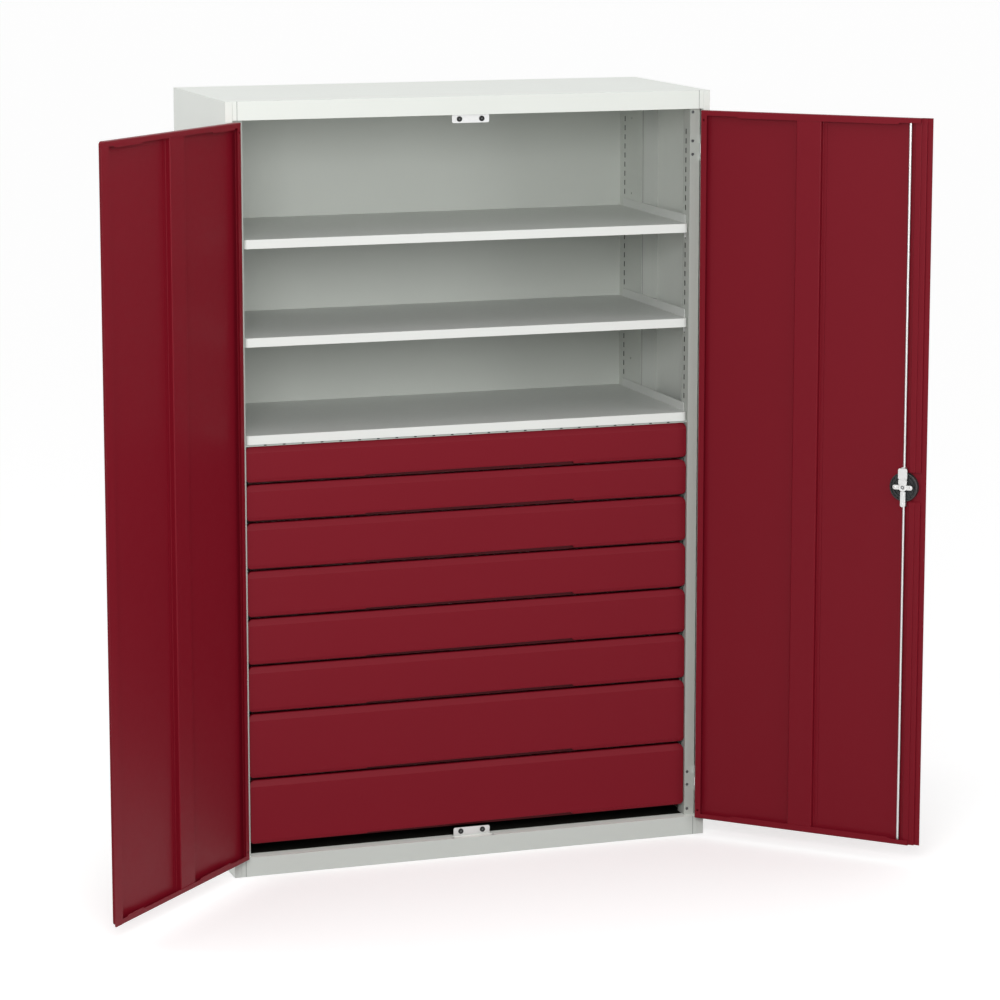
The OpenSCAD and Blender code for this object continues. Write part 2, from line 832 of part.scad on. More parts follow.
// Cam with two arms, their studs and the cranked tongue
module lock_cam() {
    tip = lock_x - closing_tip + tongue_lap;
    color(zinc) swing_right() difference() {
        union() {
            along_y(lock_x, lock_z, hub_r, link_y + 0.2, cam_y + cam_t);
            block([lock_x - arm_r + arm_w / 2, cam_y, lock_z - arm_w / 2],
                  [lock_x + arm_r - arm_w / 2, cam_y + cam_t, lock_z + arm_w / 2]);
            for (s = [-1, 1]) {
                along_y(lock_x + s * (arm_r - arm_w / 2), lock_z, arm_w / 2, cam_y, cam_y + cam_t);
                along_y(lock_x + s * (arm_r - arm_w / 2), lock_z, 2.5, cam_y - 1, cam_y + eps);
            }
            block([lock_x - tongue_w / 2, cam_y, lock_z + hub_r - 5],
                  [lock_x + tongue_w / 2, cam_y + cam_t, lock_z + tip - 5]);
            block([lock_x - tongue_w / 2 + 5, cam_y, lock_z + tip - 5 - eps],
                  [lock_x + tongue_w / 2 - 5, cam_y + cam_t, lock_z + tip]);
            for (s = [-1, 1])
                along_y(lock_x + s * (tongue_w / 2 - 5), lock_z + tip - 5, 5, cam_y, cam_y + cam_t);
        }
        along_y(lock_x, lock_z, spindle_r + run_gap, link_y - 1, cam_y);
        along_y(lock_x, lock_z, 3.05, cam_y - 1, cam_y + cam_t + 1);
    }
}

// Screw that holds the cam on the spindle
module cam_screw() {
    color(zinc) swing_right()
        along_y(lock_x, lock_z, 3, cam_y, cam_y + cam_t + 0.2);
}

// Rod with its flat link, drawn for the upper side of the lock
module rod(tip_z, up) {
    s = up ? 1 : -1;
    z0 = s * link_z;
    z1 = s * (clevis_z + 12);
    mid = s * clevis_z;
    tip = tip_z - lock_z;
    union() {
        block([lock_x - link_w / 2, link_y, lock_z + min(z0, z1)],
              [lock_x + link_w / 2, link_y + link_t, lock_z + max(z0, z1)]);
        block([lock_x - link_w / 2, rod_y - rod_r, lock_z + min(mid, z1)],
              [lock_x + link_w / 2, link_y + eps, lock_z + max(mid, z1)]);
        translate([lock_x, rod_y, lock_z + min(s * rod_z, tip - s * 5)])
            cylinder(h = abs(tip - s * 5 - s * rod_z), r = rod_r);
        translate([lock_x, rod_y, tip_z - s * 5]) rotate([up ? 0 : 180, 0, 0])
            cylinder(h = 5, r1 = rod_r, r2 = rod_r - 2);
    }
}

module lock_rod_upper() {
    color(zinc) swing_right() rod(door_z1 - 0.5, true);
}

module lock_rod_lower() {
    color(zinc) swing_right() rod(door_z0 + 0.5, false);
}

// Drawers

// Side view of a drawer front, in Y and Z from its lower edge
module front_profile(h) {
    polygon([
        [front_d, 0],
        [under_bevel, 0],
        [0, under_bevel],
        [0, h - bevel_h],
        [bevel_d, h],
        [front_d, h]
    ]);
}

// Slab with rounded corners that shapes a drawer front's outline
module front_outline(x, z0, z1, shrink, y0, y1) {
    top = corner_top - shrink;
    low = corner_low - shrink;
    union() {
        block([-x, y0, z0 + low], [x, y1, z1 - top]);
        block([-x + top, y0, z1 - top - eps], [x - top, y1, z1]);
        block([-x + low, y0, z0], [x - low, y1, z0 + low + eps]);
        both_sides() {
            along_y(x - top, z1 - top, top, y0, y1);
            along_y(x - low, z0 + low, low, y0, y1);
        }
    }
}

// Folded front: bevelled above and below, with a finger recess in the lower edge
module drawer_front(i) {
    h = heights[i] - front_gap;
    z0 = drawer_z(i) + front_gap;
    t = drawer_t;
    x = front_x;
    rib = grip_h + 2;
    color(deep_red) translate([0, face_y, z0]) difference() {
        intersection() {
            translate([-x, 0, 0]) rotate([90, 0, 90]) linear_extrude(2 * x) front_profile(h);
            front_outline(x, 0, h, 0, -1, front_d + 1);
        }
        intersection() {
            translate([-x, 0, 0]) rotate([90, 0, 90]) linear_extrude(2 * x) polygon([
                [front_d + 1, rib],
                [t, rib],
                [t, h - bevel_h - t / 3],
                [bevel_d + t / 2, h - t],
                [front_d + 1, h - t]
            ]);
            front_outline(x - t, t, h - t, t, -1, front_d + 2);
        }
        both_sides() block([grip_w / 2 + grip_h + 3, under_bevel, t], [x - corner_low, front_d + 1, rib + 1]);
        translate([0, -1, 0]) rotate([-90, 0, 0]) linear_extrude(grip_d + 1) polygon([
            [-grip_w / 2 - grip_h, 1],
            [-grip_w / 2, -grip_h],
            [grip_w / 2, -grip_h],
            [grip_w / 2 + grip_h, 1]
        ]);
    }
}

// Height of the middle of a drawer's runners
function runner_z(i) = drawer_z(i) + front_gap + box_lift + 4 + runner_h / 2;

// Open box with the drawer's runner members on its sides
module drawer_box(i) {
    t = drawer_t;
    z0 = drawer_z(i) + front_gap + box_lift;
    z1 = drawer_z(i) + heights[i] - box_drop;
    x = box_x;
    y1 = box_y + box_d;
    member = runner_h - 4 * runner_t - 4 * runner_gap;
    z = runner_z(i);
    color(inner_grey) {
        difference() {
            block([-x, box_y, z0], [x, y1, z1]);
            block([-x + t, box_y + t, z0 + t], [x - t, y1 - t, z1 + 1]);
        }
        both_sides() difference() {
            block([x, box_y + 3, z - member / 2],
                  [x + 9, box_y + 3 + runner_l - 20, z + member / 2]);
            block([x + runner_t, box_y, z - member / 2 + runner_t],
                  [x + 10, y1 + 30, z + member / 2 - runner_t]);
        }
    }
}

// Two middle runner members, which follow their drawer at half its travel
module drawer_slides(i) {
    z = runner_z(i);
    outer = runner_h - 2 * runner_t - 2 * runner_gap;
    x1 = post_x - runner_t - runner_gap;
    x0 = box_x + 3;
    y0 = box_y + 3;
    color(zinc) both_sides() difference() {
        block([x0, y0, z - outer / 2], [x1, y0 + runner_l - 10, z + outer / 2]);
        block([x0 - 1, y0 - 1, z - outer / 2 + runner_t],
              [x1 - runner_t, y0 + runner_l, z + outer / 2 - runner_t]);
    }
}

// Outer runner members on the posts
module drawer_runners_fixed() {
    y0 = box_y + 3;
    color(zinc) both_sides()
        for (i = [0:7])
            difference() {
                block([box_x + 5, y0, runner_z(i) - runner_h / 2],
                      [post_x, y0 + runner_l, runner_z(i) + runner_h / 2]);
                block([box_x, y0 - 1, runner_z(i) - runner_h / 2 + runner_t],
                      [post_x - runner_t, y0 + runner_l + 1, runner_z(i) + runner_h / 2 - runner_t]);
            }
}

module drawer_1_front() { drawer_front(0); }
module drawer_2_front() { drawer_front(1); }
module drawer_3_front() { drawer_front(2); }
module drawer_4_front() { drawer_front(3); }
module drawer_5_front() { drawer_front(4); }
module drawer_6_front() { drawer_front(5); }
module drawer_7_front() { drawer_front(6); }
module drawer_8_front() { drawer_front(7); }
module drawer_1_box() { drawer_box(0); }
module drawer_2_box() { drawer_box(1); }
module drawer_3_box() { drawer_box(2); }
module drawer_4_box() { drawer_box(3); }
module drawer_5_box() { drawer_box(4); }
module drawer_6_box() { drawer_box(5); }
module drawer_7_box() { drawer_box(6); }
module drawer_8_box() { drawer_box(7); }
module drawer_1_slides() { drawer_slides(0); }
module drawer_2_slides() { drawer_slides(1); }
module drawer_3_slides() { drawer_slides(2); }
module drawer_4_slides() { drawer_slides(3); }
module drawer_5_slides() { drawer_slides(4); }
module drawer_6_slides() { drawer_slides(5); }
module drawer_7_slides() { drawer_slides(6); }
module drawer_8_slides() { drawer_slides(7); }

side_panel_left();
side_panel_right();
back_panel();
roof_panel();
base_panel();
front_post_left();
front_post_right();
rear_post_left();
rear_post_right();
slotted_rail();
shelf_lower();
shelf_middle();
shelf_upper();
shelf_clips();
door_stop_plates();
door_stop_buffers();
hinge_frame_leaves();
hinge_pins();
frame_screws();
drawer_runners_fixed();
door_left_shell();
door_left_stiffener();
door_left_closing_strip();
door_left_hinge_leaves();
door_right_shell();
door_right_stiffener();
door_right_hinge_leaves();
lock_housing();
rod_bushes();
lock_knob();
lock_cam();
cam_screw();
key_barrel();
lock_rod_upper();
lock_rod_lower();
drawer_1_front();
drawer_2_front();
drawer_3_front();
drawer_4_front();
drawer_5_front();
drawer_6_front();
drawer_7_front();
drawer_8_front();
drawer_1_box();
drawer_2_box();
drawer_3_box();
drawer_4_box();
drawer_5_box();
drawer_6_box();
drawer_7_box();
drawer_8_box();
drawer_1_slides();
drawer_2_slides();
drawer_3_slides();
drawer_4_slides();
drawer_5_slides();
drawer_6_slides();
drawer_7_slides();
drawer_8_slides();
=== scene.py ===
"""Steel tool cabinet: light grey carcass, two red doors with a rod lock, shelves and
eight drawers."""

import math

import bmesh
import bpy
from mathutils import Matrix, Vector


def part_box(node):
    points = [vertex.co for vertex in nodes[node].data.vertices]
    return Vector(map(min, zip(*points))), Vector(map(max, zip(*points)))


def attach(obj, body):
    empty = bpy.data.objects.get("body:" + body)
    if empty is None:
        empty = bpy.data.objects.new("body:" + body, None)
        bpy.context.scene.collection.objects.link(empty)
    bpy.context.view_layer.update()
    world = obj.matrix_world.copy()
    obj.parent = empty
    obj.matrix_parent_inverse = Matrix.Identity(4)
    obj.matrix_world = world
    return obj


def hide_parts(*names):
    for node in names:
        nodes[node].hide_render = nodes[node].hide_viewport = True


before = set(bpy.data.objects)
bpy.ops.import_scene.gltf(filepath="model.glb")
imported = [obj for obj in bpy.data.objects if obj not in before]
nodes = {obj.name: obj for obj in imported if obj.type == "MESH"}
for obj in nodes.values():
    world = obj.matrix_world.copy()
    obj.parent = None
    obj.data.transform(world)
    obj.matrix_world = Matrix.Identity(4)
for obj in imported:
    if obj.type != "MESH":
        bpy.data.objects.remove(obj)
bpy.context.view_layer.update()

# Camera. It stands where the photograph was taken from, 9 m away and a little over
# the roof, and looks slightly down with a long lens.
CAMERA_PLACE = (-2.817, -8.805, 2.647)
CAMERA_TURN = math.radians(18.734)
CAMERA_PITCH = math.radians(9.378)
CAMERA_LENS = 126.8
CAMERA_SHIFT = (-0.0014, -0.08)

camera_data = bpy.data.cameras.new("camera")
camera_data.sensor_width = 36
camera_data.lens = CAMERA_LENS
camera_data.shift_x, camera_data.shift_y = CAMERA_SHIFT
camera_data.clip_end = 200
camera = bpy.data.objects.new("camera", camera_data)
camera.location = CAMERA_PLACE
camera.rotation_euler = (math.pi / 2 - CAMERA_PITCH, 0, -CAMERA_TURN)
bpy.context.scene.collection.objects.link(camera)
bpy.context.scene.camera = camera


# Powder paint. Every sheet part of the carcass is sprayed with powder and baked, which
# leaves a fine orange peel and a satin gloss, a little duller where it is thin.
def link(tree, source, out, target, into):
    tree.links.new(source.outputs[out], target.inputs[into])


def noise_node(tree, scale, detail, source):
    noise = tree.nodes.new("ShaderNodeTexNoise")
    noise.inputs["Scale"].default_value = scale
    noise.inputs["Detail"].default_value = detail
    link(tree, source, "Object", noise, "Vector")
    return noise


def spread(tree, noise, low, high):
    """Maps a noise to values from low to high."""
    ramp = tree.nodes.new("ShaderNodeMapRange")
    ramp.inputs["From Min"].default_value = 0.3
    ramp.inputs["From Max"].default_value = 0.7
    ramp.inputs["To Min"].default_value = low
    ramp.inputs["To Max"].default_value = high
    link(tree, noise, "Fac", ramp, "Value")
    return ramp


def math_node(tree, operation, *values):
    """A sum on numbers and other nodes' sockets. It gives the socket of the result."""
    node = tree.nodes.new("ShaderNodeMath")
    node.operation = operation
    for socket, value in zip(node.inputs, values):
        if isinstance(value, (int, float)):
            socket.default_value = value
        else:
            tree.links.new(value, socket)
    return node.outputs["Value"]


def shade(colour, factor):
    return (colour[0] * factor, colour[1] * factor, colour[2] * factor, 1)


def mottle(tree, noise, colour, darkest, lightest):
    """Lets a noise move the colour of a finish between two shades."""
    tone = tree.nodes.new("ShaderNodeMix")
    tone.data_type = "RGBA"
    tone.inputs["A"].default_value = shade(colour, darkest)
    tone.inputs["B"].default_value = shade(colour, lightest)
    link(tree, noise, "Fac", tone, "Factor")
    link(tree, tone, "Result", tree.nodes["Principled BSDF"], "Base Color")


def emboss(tree, height, strength, depth):
    """Raises the surface of a finish where the socket's value is high."""
    bump = tree.nodes.new("ShaderNodeBump")
    bump.inputs["Strength"].default_value = strength
    bump.inputs["Distance"].default_value = depth
    tree.links.new(height, bump.inputs["Height"])
    link(tree, bump, "Normal", tree.nodes["Principled BSDF"], "Normal")


def new_finish(name):
    """A new material with its nodes, its shader and the coordinates of its piece."""
    material = bpy.data.materials.new(name)
    material.use_nodes = True
    tree = material.node_tree
    return material, tree, tree.nodes["Principled BSDF"], tree.nodes.new("ShaderNodeTexCoord")


def powder_paint(name, colour, gloss, peel, mirror=0.5):
    material, tree, paint, place = new_finish(name)
    mottle(tree, noise_node(tree, 3.0, 4.0, place), colour, 0.97, 1.03)
    film = noise_node(tree, 60.0, 3.0, place)
    link(tree, spread(tree, film, gloss - 0.03, gloss + 0.04), "Result", paint, "Roughness")
    orange_peel = noise_node(tree, 420.0, 2.0, place)
    fine = noise_node(tree, 2200.0, 1.0, place)
    both = math_node(tree, "MULTIPLY_ADD", fine.outputs["Fac"], 0.25, orange_peel.outputs["Fac"])
    emboss(tree, both, peel, 0.0004)
    paint.inputs["Specular IOR Level"].default_value = mirror
    return material


def darken(material, amount, *tests):
    """Darkens a paint where every test holds. A test is a coordinate's name, an axis, and
    the least and greatest distance from zero."""
    tree = material.node_tree
    colour = tree.nodes["Principled BSDF"].inputs["Base Color"]
    before = colour.links[0].from_socket
    place = tree.nodes.new("ShaderNodeTexCoord")
    mask = 1.0
    for kind, axis, low, high in tests:
        parts = tree.nodes.new("ShaderNodeSeparateXYZ")
        link(tree, place, kind, parts, "Vector")
        distance = math_node(tree, "ABSOLUTE", parts.outputs[axis])
        inside = math_node(tree, "COMPARE", distance, (low + high) / 2, (high - low) / 2)
        mask = math_node(tree, "MULTIPLY", mask, inside)
    darker = tree.nodes.new("ShaderNodeMix")
    darker.data_type = "RGBA"
    darker.blend_type = "MULTIPLY"
    darker.inputs["B"].default_value = shade((1, 1, 1), 1 - amount)
    tree.links.new(mask, darker.inputs["Factor"])
    tree.links.new(before, darker.inputs["A"])
    tree.links.new(darker.outputs["Result"], colour)


def srgb(r, g, b):
    """A colour written as it looks on a screen, 0 to 255, as the shader's linear values."""

    def linear(c):
        c /= 255
        return c / 12.92 if c <= 0.04045 else ((c + 0.055) / 1.055) ** 2.4

    return (linear(r), linear(g), linear(b))


CARCASS_GREY = srgb(238, 242, 236)
INNER_GREY = srgb(190, 194, 188)

carcass_paint = powder_paint("carcass_paint", CARCASS_GREY, 0.42, 0.25)
inner_paint = powder_paint("inner_paint", INNER_GREY, 0.42, 0.25)
shelf_paint = powder_paint("shelf_paint", srgb(240, 243, 239), 0.40, 0.2)


# Carcass panels. Folded steel sheet: sides with a front strip, roof with the fascia,
# base with the plinth, and the back pan. Folds and cut edges are slightly rounded.
def round_edges(node, width, steps=2):
    """Welds a CAD node's faces, joins the flat ones and rounds its edges."""
    piece = nodes[node]
    weld = piece.modifiers.new("weld", "WELD")
    weld.merge_threshold = 1e-5
    flat = piece.modifiers.new("flat", "DECIMATE")
    flat.decimate_type = "DISSOLVE"
    flat.angle_limit = math.radians(1)
    bevel = piece.modifiers.new("round", "BEVEL")
    bevel.width = width
    bevel.segments = steps
    bevel.limit_method = "ANGLE"
    bevel.angle_limit = math.radians(35)
    bevel.harden_normals = True
    return piece


def paint_piece(piece, material):
    piece.data.materials.clear()
    piece.data.materials.append(material)


def finish_node(node, material, width=0.0004, steps=2):
    paint_piece(round_edges(node, width, steps), material)


# Shade that the lamps don't give by themselves: inside the side panels, in the seams beside
# the front strips and along the foot of the plinth.
SIDEWAYS = ("Normal", "X", 0.5, 1)
FORWARDS = ("Normal", "Y", 0.7, 1)

darken(carcass_paint, 0.16, ("Object", "X", 0.62, 0.6487), SIDEWAYS)
darken(carcass_paint, 0.5, ("Object", "X", 0.6189, 0.6208), FORWARDS)
darken(carcass_paint, 0.22, ("Object", "Z", 0, 0.0499), FORWARDS)

for panel in ("side_panel_left", "side_panel_right", "roof_panel", "base_panel"):
    finish_node(panel, carcass_paint, 0.0006, 3)
for panel in ("back_panel", "slotted_rail"):
    finish_node(panel, inner_paint)


# Floor tray. The tray behind the plinth is covered by a dark sheet with low edges,
# painted shade for the dark space under the drawers. It rests on the base.
MM = 0.001


def bent_line(points, radius, steps=4):
    """The points of a bent line: its corners become arcs of that radius."""
    line = [Vector(points[0])]
    for before, corner, after in zip(points, points[1:], points[2:]):
        corner = Vector(corner)
        back = (Vector(before) - corner).normalized()
        on = (Vector(after) - corner).normalized()
        half = back.angle(on) / 2
        middle = corner + (back + on).normalized() * (radius / math.sin(half))
        start = corner + back * (radius / math.tan(half)) - middle
        turn = math.copysign(math.pi - 2 * half, -back.cross(on))
        line += [middle + Matrix.Rotation(turn * i / steps, 2) @ start for i in range(steps + 1)]
    line.append(Vector(points[-1]))
    return line


def across(axis, a, b, along):
    """A point of a cross-section drawn in the two other axes, set along this axis."""
    return {"x": (along, a, b), "y": (a, along, b), "z": (a, b, along)}[axis]


def bent_sheet(points, radius, thick, axis, start, end):
    """Sheet whose middle line is bent at the points. It runs along an axis."""
    line = bent_line(points, radius)
    pairs = []
    for i, middle in enumerate(line):
        along = line[min(i + 1, len(line) - 1)] - line[max(i - 1, 0)]
        aside = Vector((-along.y, along.x)).normalized() * (thick / 2)
        pairs += [middle + aside, middle - aside]
    corners = [across(axis, p.x, p.y, end_place) for end_place in (start, end) for p in pairs]
    n = len(pairs)
    faces = [(0, 1, n + 1, n), (n - 2, n - 1, 2 * n - 1, 2 * n - 2)]
    for i in range(0, n - 2, 2):
        faces += [(i, i + 2, n + i + 2, n + i), (i + 1, i + 3, n + i + 3, n + i + 1)]
        faces += [(i, i + 1, i + 3, i + 2), (n + i, n + i + 1, n + i + 3, n + i + 2)]
    return corners, faces


def join(*shapes):
    corners, faces = [], []
    for more_corners, more_faces in shapes:
        first = len(corners)
        corners += more_corners
        faces += [tuple(first + i for i in face) for face in more_faces]
    return corners, faces


def clean_mesh(name, corners, faces, near):
    """A mesh whose doubled corners are joined and whose faces look outwards."""
    mesh = bpy.data.meshes.new(name)
    mesh.from_pydata(corners, [], faces)
    work = bmesh.new()
    work.from_mesh(mesh)
    bmesh.ops.remove_doubles(work, verts=work.verts, dist=near)
    bmesh.ops.recalc_face_normals(work, faces=work.faces)
    work.to_mesh(mesh)
    work.free()
    return mesh


def make_piece(name, shape, material, body, stands_for=(), at=Matrix(), soft=0.0, steps=2):
    """A piece from corners in millimetres. Soft is the rounding of its sharp edges."""
    corners, faces = shape
    mesh = clean_mesh(name, [at @ (Vector(corner) * MM) for corner in corners], faces, 1e-6)
    mesh.shade_smooth()
    mesh.set_sharp_from_angle(angle=math.radians(35))
    mesh.materials.append(material)
    piece = bpy.data.objects.new(name, mesh)
    bpy.context.scene.collection.objects.link(piece)
    if soft:
        bevel = piece.modifiers.new("round", "BEVEL")
        bevel.width = soft * MM
        bevel.segments = steps
        bevel.limit_method = "ANGLE"
        bevel.angle_limit = math.radians(40)
    weights = piece.modifiers.new("weights", "WEIGHTED_NORMAL")
    weights.keep_sharp = True
    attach(piece, body)
    if stands_for:
        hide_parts(*stands_for)
    return piece


FLOOR_TOP = 40
LEDGE_DEPTH = 39
LINING_T = 0.8
LINING_EDGE = 6
LINING_UNDER_POSTS = 20

tray_low, tray_high = (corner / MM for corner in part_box("base_panel"))
post_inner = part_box("front_post_right")[0].x / MM
lining_front = tray_low.y + LEDGE_DEPTH
lining_end = post_inner + LINING_UNDER_POSTS
lining_back = tray_high.y - 1
shade_paint = powder_paint("shade_stand_in", srgb(30, 29, 26), 0.6, 0.3, 0.2)
lining = bent_sheet(
    [(lining_front, FLOOR_TOP + LINING_EDGE), (lining_front, FLOOR_TOP + LINING_T),
     (lining_back, FLOOR_TOP + LINING_T), (lining_back, FLOOR_TOP + LINING_EDGE)],
    1.2, LINING_T, "x", -lining_end, lining_end,
)
make_piece("floor_shade_sheet", lining, shade_paint, "cabinet")


# Posts. Folded channels behind the front strips and at the back, with columns of slots
# for the shelf clips. They are welded to the panels.
front_post_paint = powder_paint("front_post_paint", INNER_GREY, 0.42, 0.25)
rear_post_paint = powder_paint("rear_post_paint", srgb(207, 211, 205), 0.42, 0.25)
# Painted shade in the slots: their cut walls are painted almost black.
for paint in (front_post_paint, rear_post_paint):
    darken(paint, 0.97, ("Object", "X", 0.6024, 0.6041), ("Object", "Y", 0.219, 0.232),
           ("Normal", "X", 0, 0.5))
# Painted shade on the rear posts: their forward-facing faces are darker, with a darker line just
# behind the web.
darken(rear_post_paint, 0.32, FORWARDS)
darken(rear_post_paint, 0.35, ("Object", "X", 0.6041, 0.6068), FORWARDS)
for side in ("left", "right"):
    finish_node(f"front_post_{side}", front_post_paint, 0.0003)
    finish_node(f"rear_post_{side}", rear_post_paint, 0.0003)

# Behind the web of each post a dark sheet is laid in, painted shade that shows through the slots.
LINING_BEHIND = 4.5
SLOT_COVER = 17
REAR_SLOTS_IN = 37


def prism(outline, axis, start, end):
    """A straight solid over an outline drawn in the two other axes."""
    corners = [across(axis, a, b, along) for along in (start, end) for a, b in outline]
    n = len(outline)
    faces = [tuple(range(n)), tuple(range(n, 2 * n))]
    faces += [(i, (i + 1) % n, n + (i + 1) % n, n + i) for i in range(n)]
    return corners, faces


def oblong(a0, a1, b0, b1):
    """Outline of a rectangle between two values on each of the two axes."""
    return [(a0, b0), (a1, b0), (a1, b1), (a0, b1)]


post_low, post_high = (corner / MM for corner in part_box("front_post_right"))
rear_low, rear_high = (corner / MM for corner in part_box("rear_post_right"))
rear_slots_y = rear_high.y - REAR_SLOTS_IN
lining_x = post_inner + LINING_BEHIND
for place, y0, y1, head in (
    ("front", post_low.y + 3, post_high.y - 3, post_high.z - 2),
    ("rear", rear_slots_y - SLOT_COVER, rear_slots_y + SLOT_COVER, rear_high.z - 5),
):
    post_shade_sheet = join(*(
        prism(oblong(side * lining_x, side * (lining_x + LINING_T), y0, y1), "z",
              post_low.z + 2, head)
        for side in (-1, 1)
    ))
    make_piece(f"{place}_post_shade_sheet", post_shade_sheet, shade_paint, "cabinet")


# Shelves. Folded trays with upstands along both sides. Four clips in the post slots
# carry each one. Tops and upstands take the tone that they have in shade.
darken(shelf_paint, 0.3, ("Normal", "Z", 0.7, 1))
darken(shelf_paint, 0.25, ("Normal", "X", 0.7, 1))
for shelf in ("shelf_lower", "shelf_middle", "shelf_upper"):
    finish_node(shelf, shelf_paint, 0.0005, 3)


# Zinc. Clips, hinge leaves, stop plates and runners are pressed from thin steel and plated
# bright, with a fine grain. The lock's metal parts have the same finish.
def plated_steel(name, colour, gloss):
    material, tree, metal, place = new_finish(name)
    metal.inputs["Metallic"].default_value = 1.0
    mottle(tree, noise_node(tree, 25.0, 3.0, place), colour, 0.9, 1.05)
    grain = noise_node(tree, 350.0, 4.0, place)
    link(tree, spread(tree, grain, gloss - 0.08, gloss + 0.1), "Result", metal, "Roughness")
    emboss(tree, grain.outputs["Fac"], 0.2, 0.0002)
    return material


zinc = plated_steel("zinc", srgb(214, 215, 214), 0.38)

for part in (
    "shelf_clips", "door_stop_plates", "hinge_frame_leaves", "drawer_runners_fixed",
    "door_left_hinge_leaves", "door_right_hinge_leaves",
):
    finish_node(part, zinc, 0.0003)


# Hinge pins. Turned pins with domed heads hold the hinge leaves together, at the top and
# at the bottom of each door.
def stacked(rings, ends=True, gap=False):
    """Walls between rings of corners, and the first and last ring filled. With a gap the
    rings stay open between their last and first corner."""
    count = len(rings[0])
    corners = [corner for ring in rings for corner in ring]
    faces = []
    for first in range(0, len(corners) - count, count):
        for i in range(count - 1 if gap else count):
            a, b = first + i, first + (i + 1) % count
            faces.append((a, b, b + count, a + count))
    if ends:
        faces += [tuple(range(count)), tuple(range(len(corners) - count, len(corners)))]
    return corners, faces


def turned(profile, centre, axis, steps=40):
    """A turned solid. The profile gives (radius, place along the axis) from end to end."""
    turns = [2 * math.pi * i / steps for i in range(steps)]
    return stacked([[across(axis, centre[0] + radius * math.cos(turn),
                            centre[1] + radius * math.sin(turn), along) for turn in turns]
                    for radius, along in profile])


def dome(radius, start, height, steps=5):
    """Profile of a domed head, from its edge to its crown."""
    return [(radius * math.cos(math.pi / 2 * i / steps) + 0.01,
             start + height * math.sin(math.pi / 2 * i / steps)) for i in range(steps + 1)]


PIN_R = 2.5
PIN_HEAD_R = 4
PIN_HEAD_H = 2
HINGE_REACH = 70

pins_low, pins_high = (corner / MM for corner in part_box("hinge_pins"))
frame_leaves_low, frame_leaves_high = (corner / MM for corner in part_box("hinge_frame_leaves"))
hinge_x = pins_high.x - PIN_HEAD_R
hinge_y = pins_low.y + PIN_HEAD_R
hinge_bottoms = (frame_leaves_low.z, frame_leaves_high.z - HINGE_REACH)


def hinge_pin(x, bottom):
    top = bottom + HINGE_REACH
    foot = [(radius, 2 * bottom - along) for radius, along in dome(PIN_HEAD_R, bottom, PIN_HEAD_H)]
    profile = foot[::-1] + [(PIN_R, bottom), (PIN_R, top)] + dome(PIN_HEAD_R, top, PIN_HEAD_H)
    return turned(profile, (x, hinge_y), "z")


pins = join(*(hinge_pin(side * hinge_x, bottom) for side in (-1, 1) for bottom in hinge_bottoms))
make_piece("hinge_pins_turned", pins, zinc, "cabinet", ["hinge_pins"])


# Post screws. Countersunk screws with a hexagon socket hold the hinges and close the
# ends of the front posts.
def ring_points(radius, sides, steps, turn=0.0):
    """Points round a circle, or a polygon when it has fewer sides than steps."""
    points = []
    for i in range(steps):
        angle = 2 * math.pi * i / steps + turn
        reach = radius
        if sides < steps:
            half = math.pi / sides
            reach = radius * math.cos(half) / math.cos(angle % (2 * half) - half)
        points.append((reach * math.cos(angle), reach * math.sin(angle)))
    return points


def socket_head(centre, face, head_r, socket_r, depth, into, axis="y", sides=6, steps=24):
    """Head of a screw with a socket. Into is +1 where the shank runs along the axis."""
    rings = [
        (0.62 * head_r, steps, face + into * 0.45 * head_r),
        (head_r, steps, face + into * 0.12 * head_r),
        (0.93 * head_r, steps, face),
        (socket_r * 1.15, steps, face),
        (socket_r, sides, face + into * 0.1),
        (socket_r, sides, face + into * depth),
    ]
    return stacked([[across(axis, centre[0] + a, centre[1] + b, along)
                     for a, b in ring_points(radius, ring_sides, steps)]
                    for radius, ring_sides, along in rings])


SCREW_HEAD_R = 3.9
SCREW_SOCKET_R = 2.0
SCREW_PITCH = 35
SCREW_IN = 4
POST_END_SCREWS = (67, 1942.5)

screws_low, screws_high = (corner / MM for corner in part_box("frame_screws"))
screw_x = screws_high.x - SCREW_IN
screw_places = [bottom + HINGE_REACH / 2 + half * SCREW_PITCH
                for bottom in hinge_bottoms for half in (-0.5, 0.5)] + list(POST_END_SCREWS)
blued_steel = plated_steel("blued_steel", srgb(120, 122, 124), 0.42)
screws = join(*(
    socket_head((side * screw_x, z), screws_low.y, SCREW_HEAD_R, SCREW_SOCKET_R, 1.3, 1)
    for side in (-1, 1) for z in screw_places
))
make_piece("post_screws", screws, blued_steel, "cabinet", ["frame_screws"])


# Plastic and rubber. The lock's cup, knob and rod bushes are moulded in black plastic with
# a fine grain, and the buffers in rubber.
def moulded(name, colour, gloss, grain_size, grain_depth):
    material, tree, plastic, place = new_finish(name)
    clouds = noise_node(tree, 40.0, 3.0, place)
    mottle(tree, clouds, colour, 0.85, 1.2)
    link(tree, spread(tree, clouds, gloss - 0.05, gloss + 0.08), "Result", plastic, "Roughness")
    grain = tree.nodes.new("ShaderNodeTexVoronoi")
    grain.inputs["Scale"].default_value = grain_size
    link(tree, place, "Object", grain, "Vector")
    emboss(tree, grain.outputs["Distance"], grain_depth, 0.0002)
    return material


black_plastic = moulded("black_plastic", srgb(38, 40, 41), 0.45, 1400.0, 0.3)
rubber = moulded("rubber", srgb(30, 31, 32), 0.75, 900.0, 0.4)


# Buffers. Two round rubber buffers are pressed into each stop plate. A lighter moulded
# plug fills the middle of each.
BUFFER_R = 7
BUFFER_T = 2.7

buffers_low, buffers_high = (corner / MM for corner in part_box("door_stop_buffers"))
buffer_x = buffers_high.x - BUFFER_R
buffer_face = buffers_low.y
buffer_back = buffer_face + BUFFER_T
rubber_grey = moulded("rubber_grey", srgb(96, 98, 98), 0.6, 900.0, 0.3)


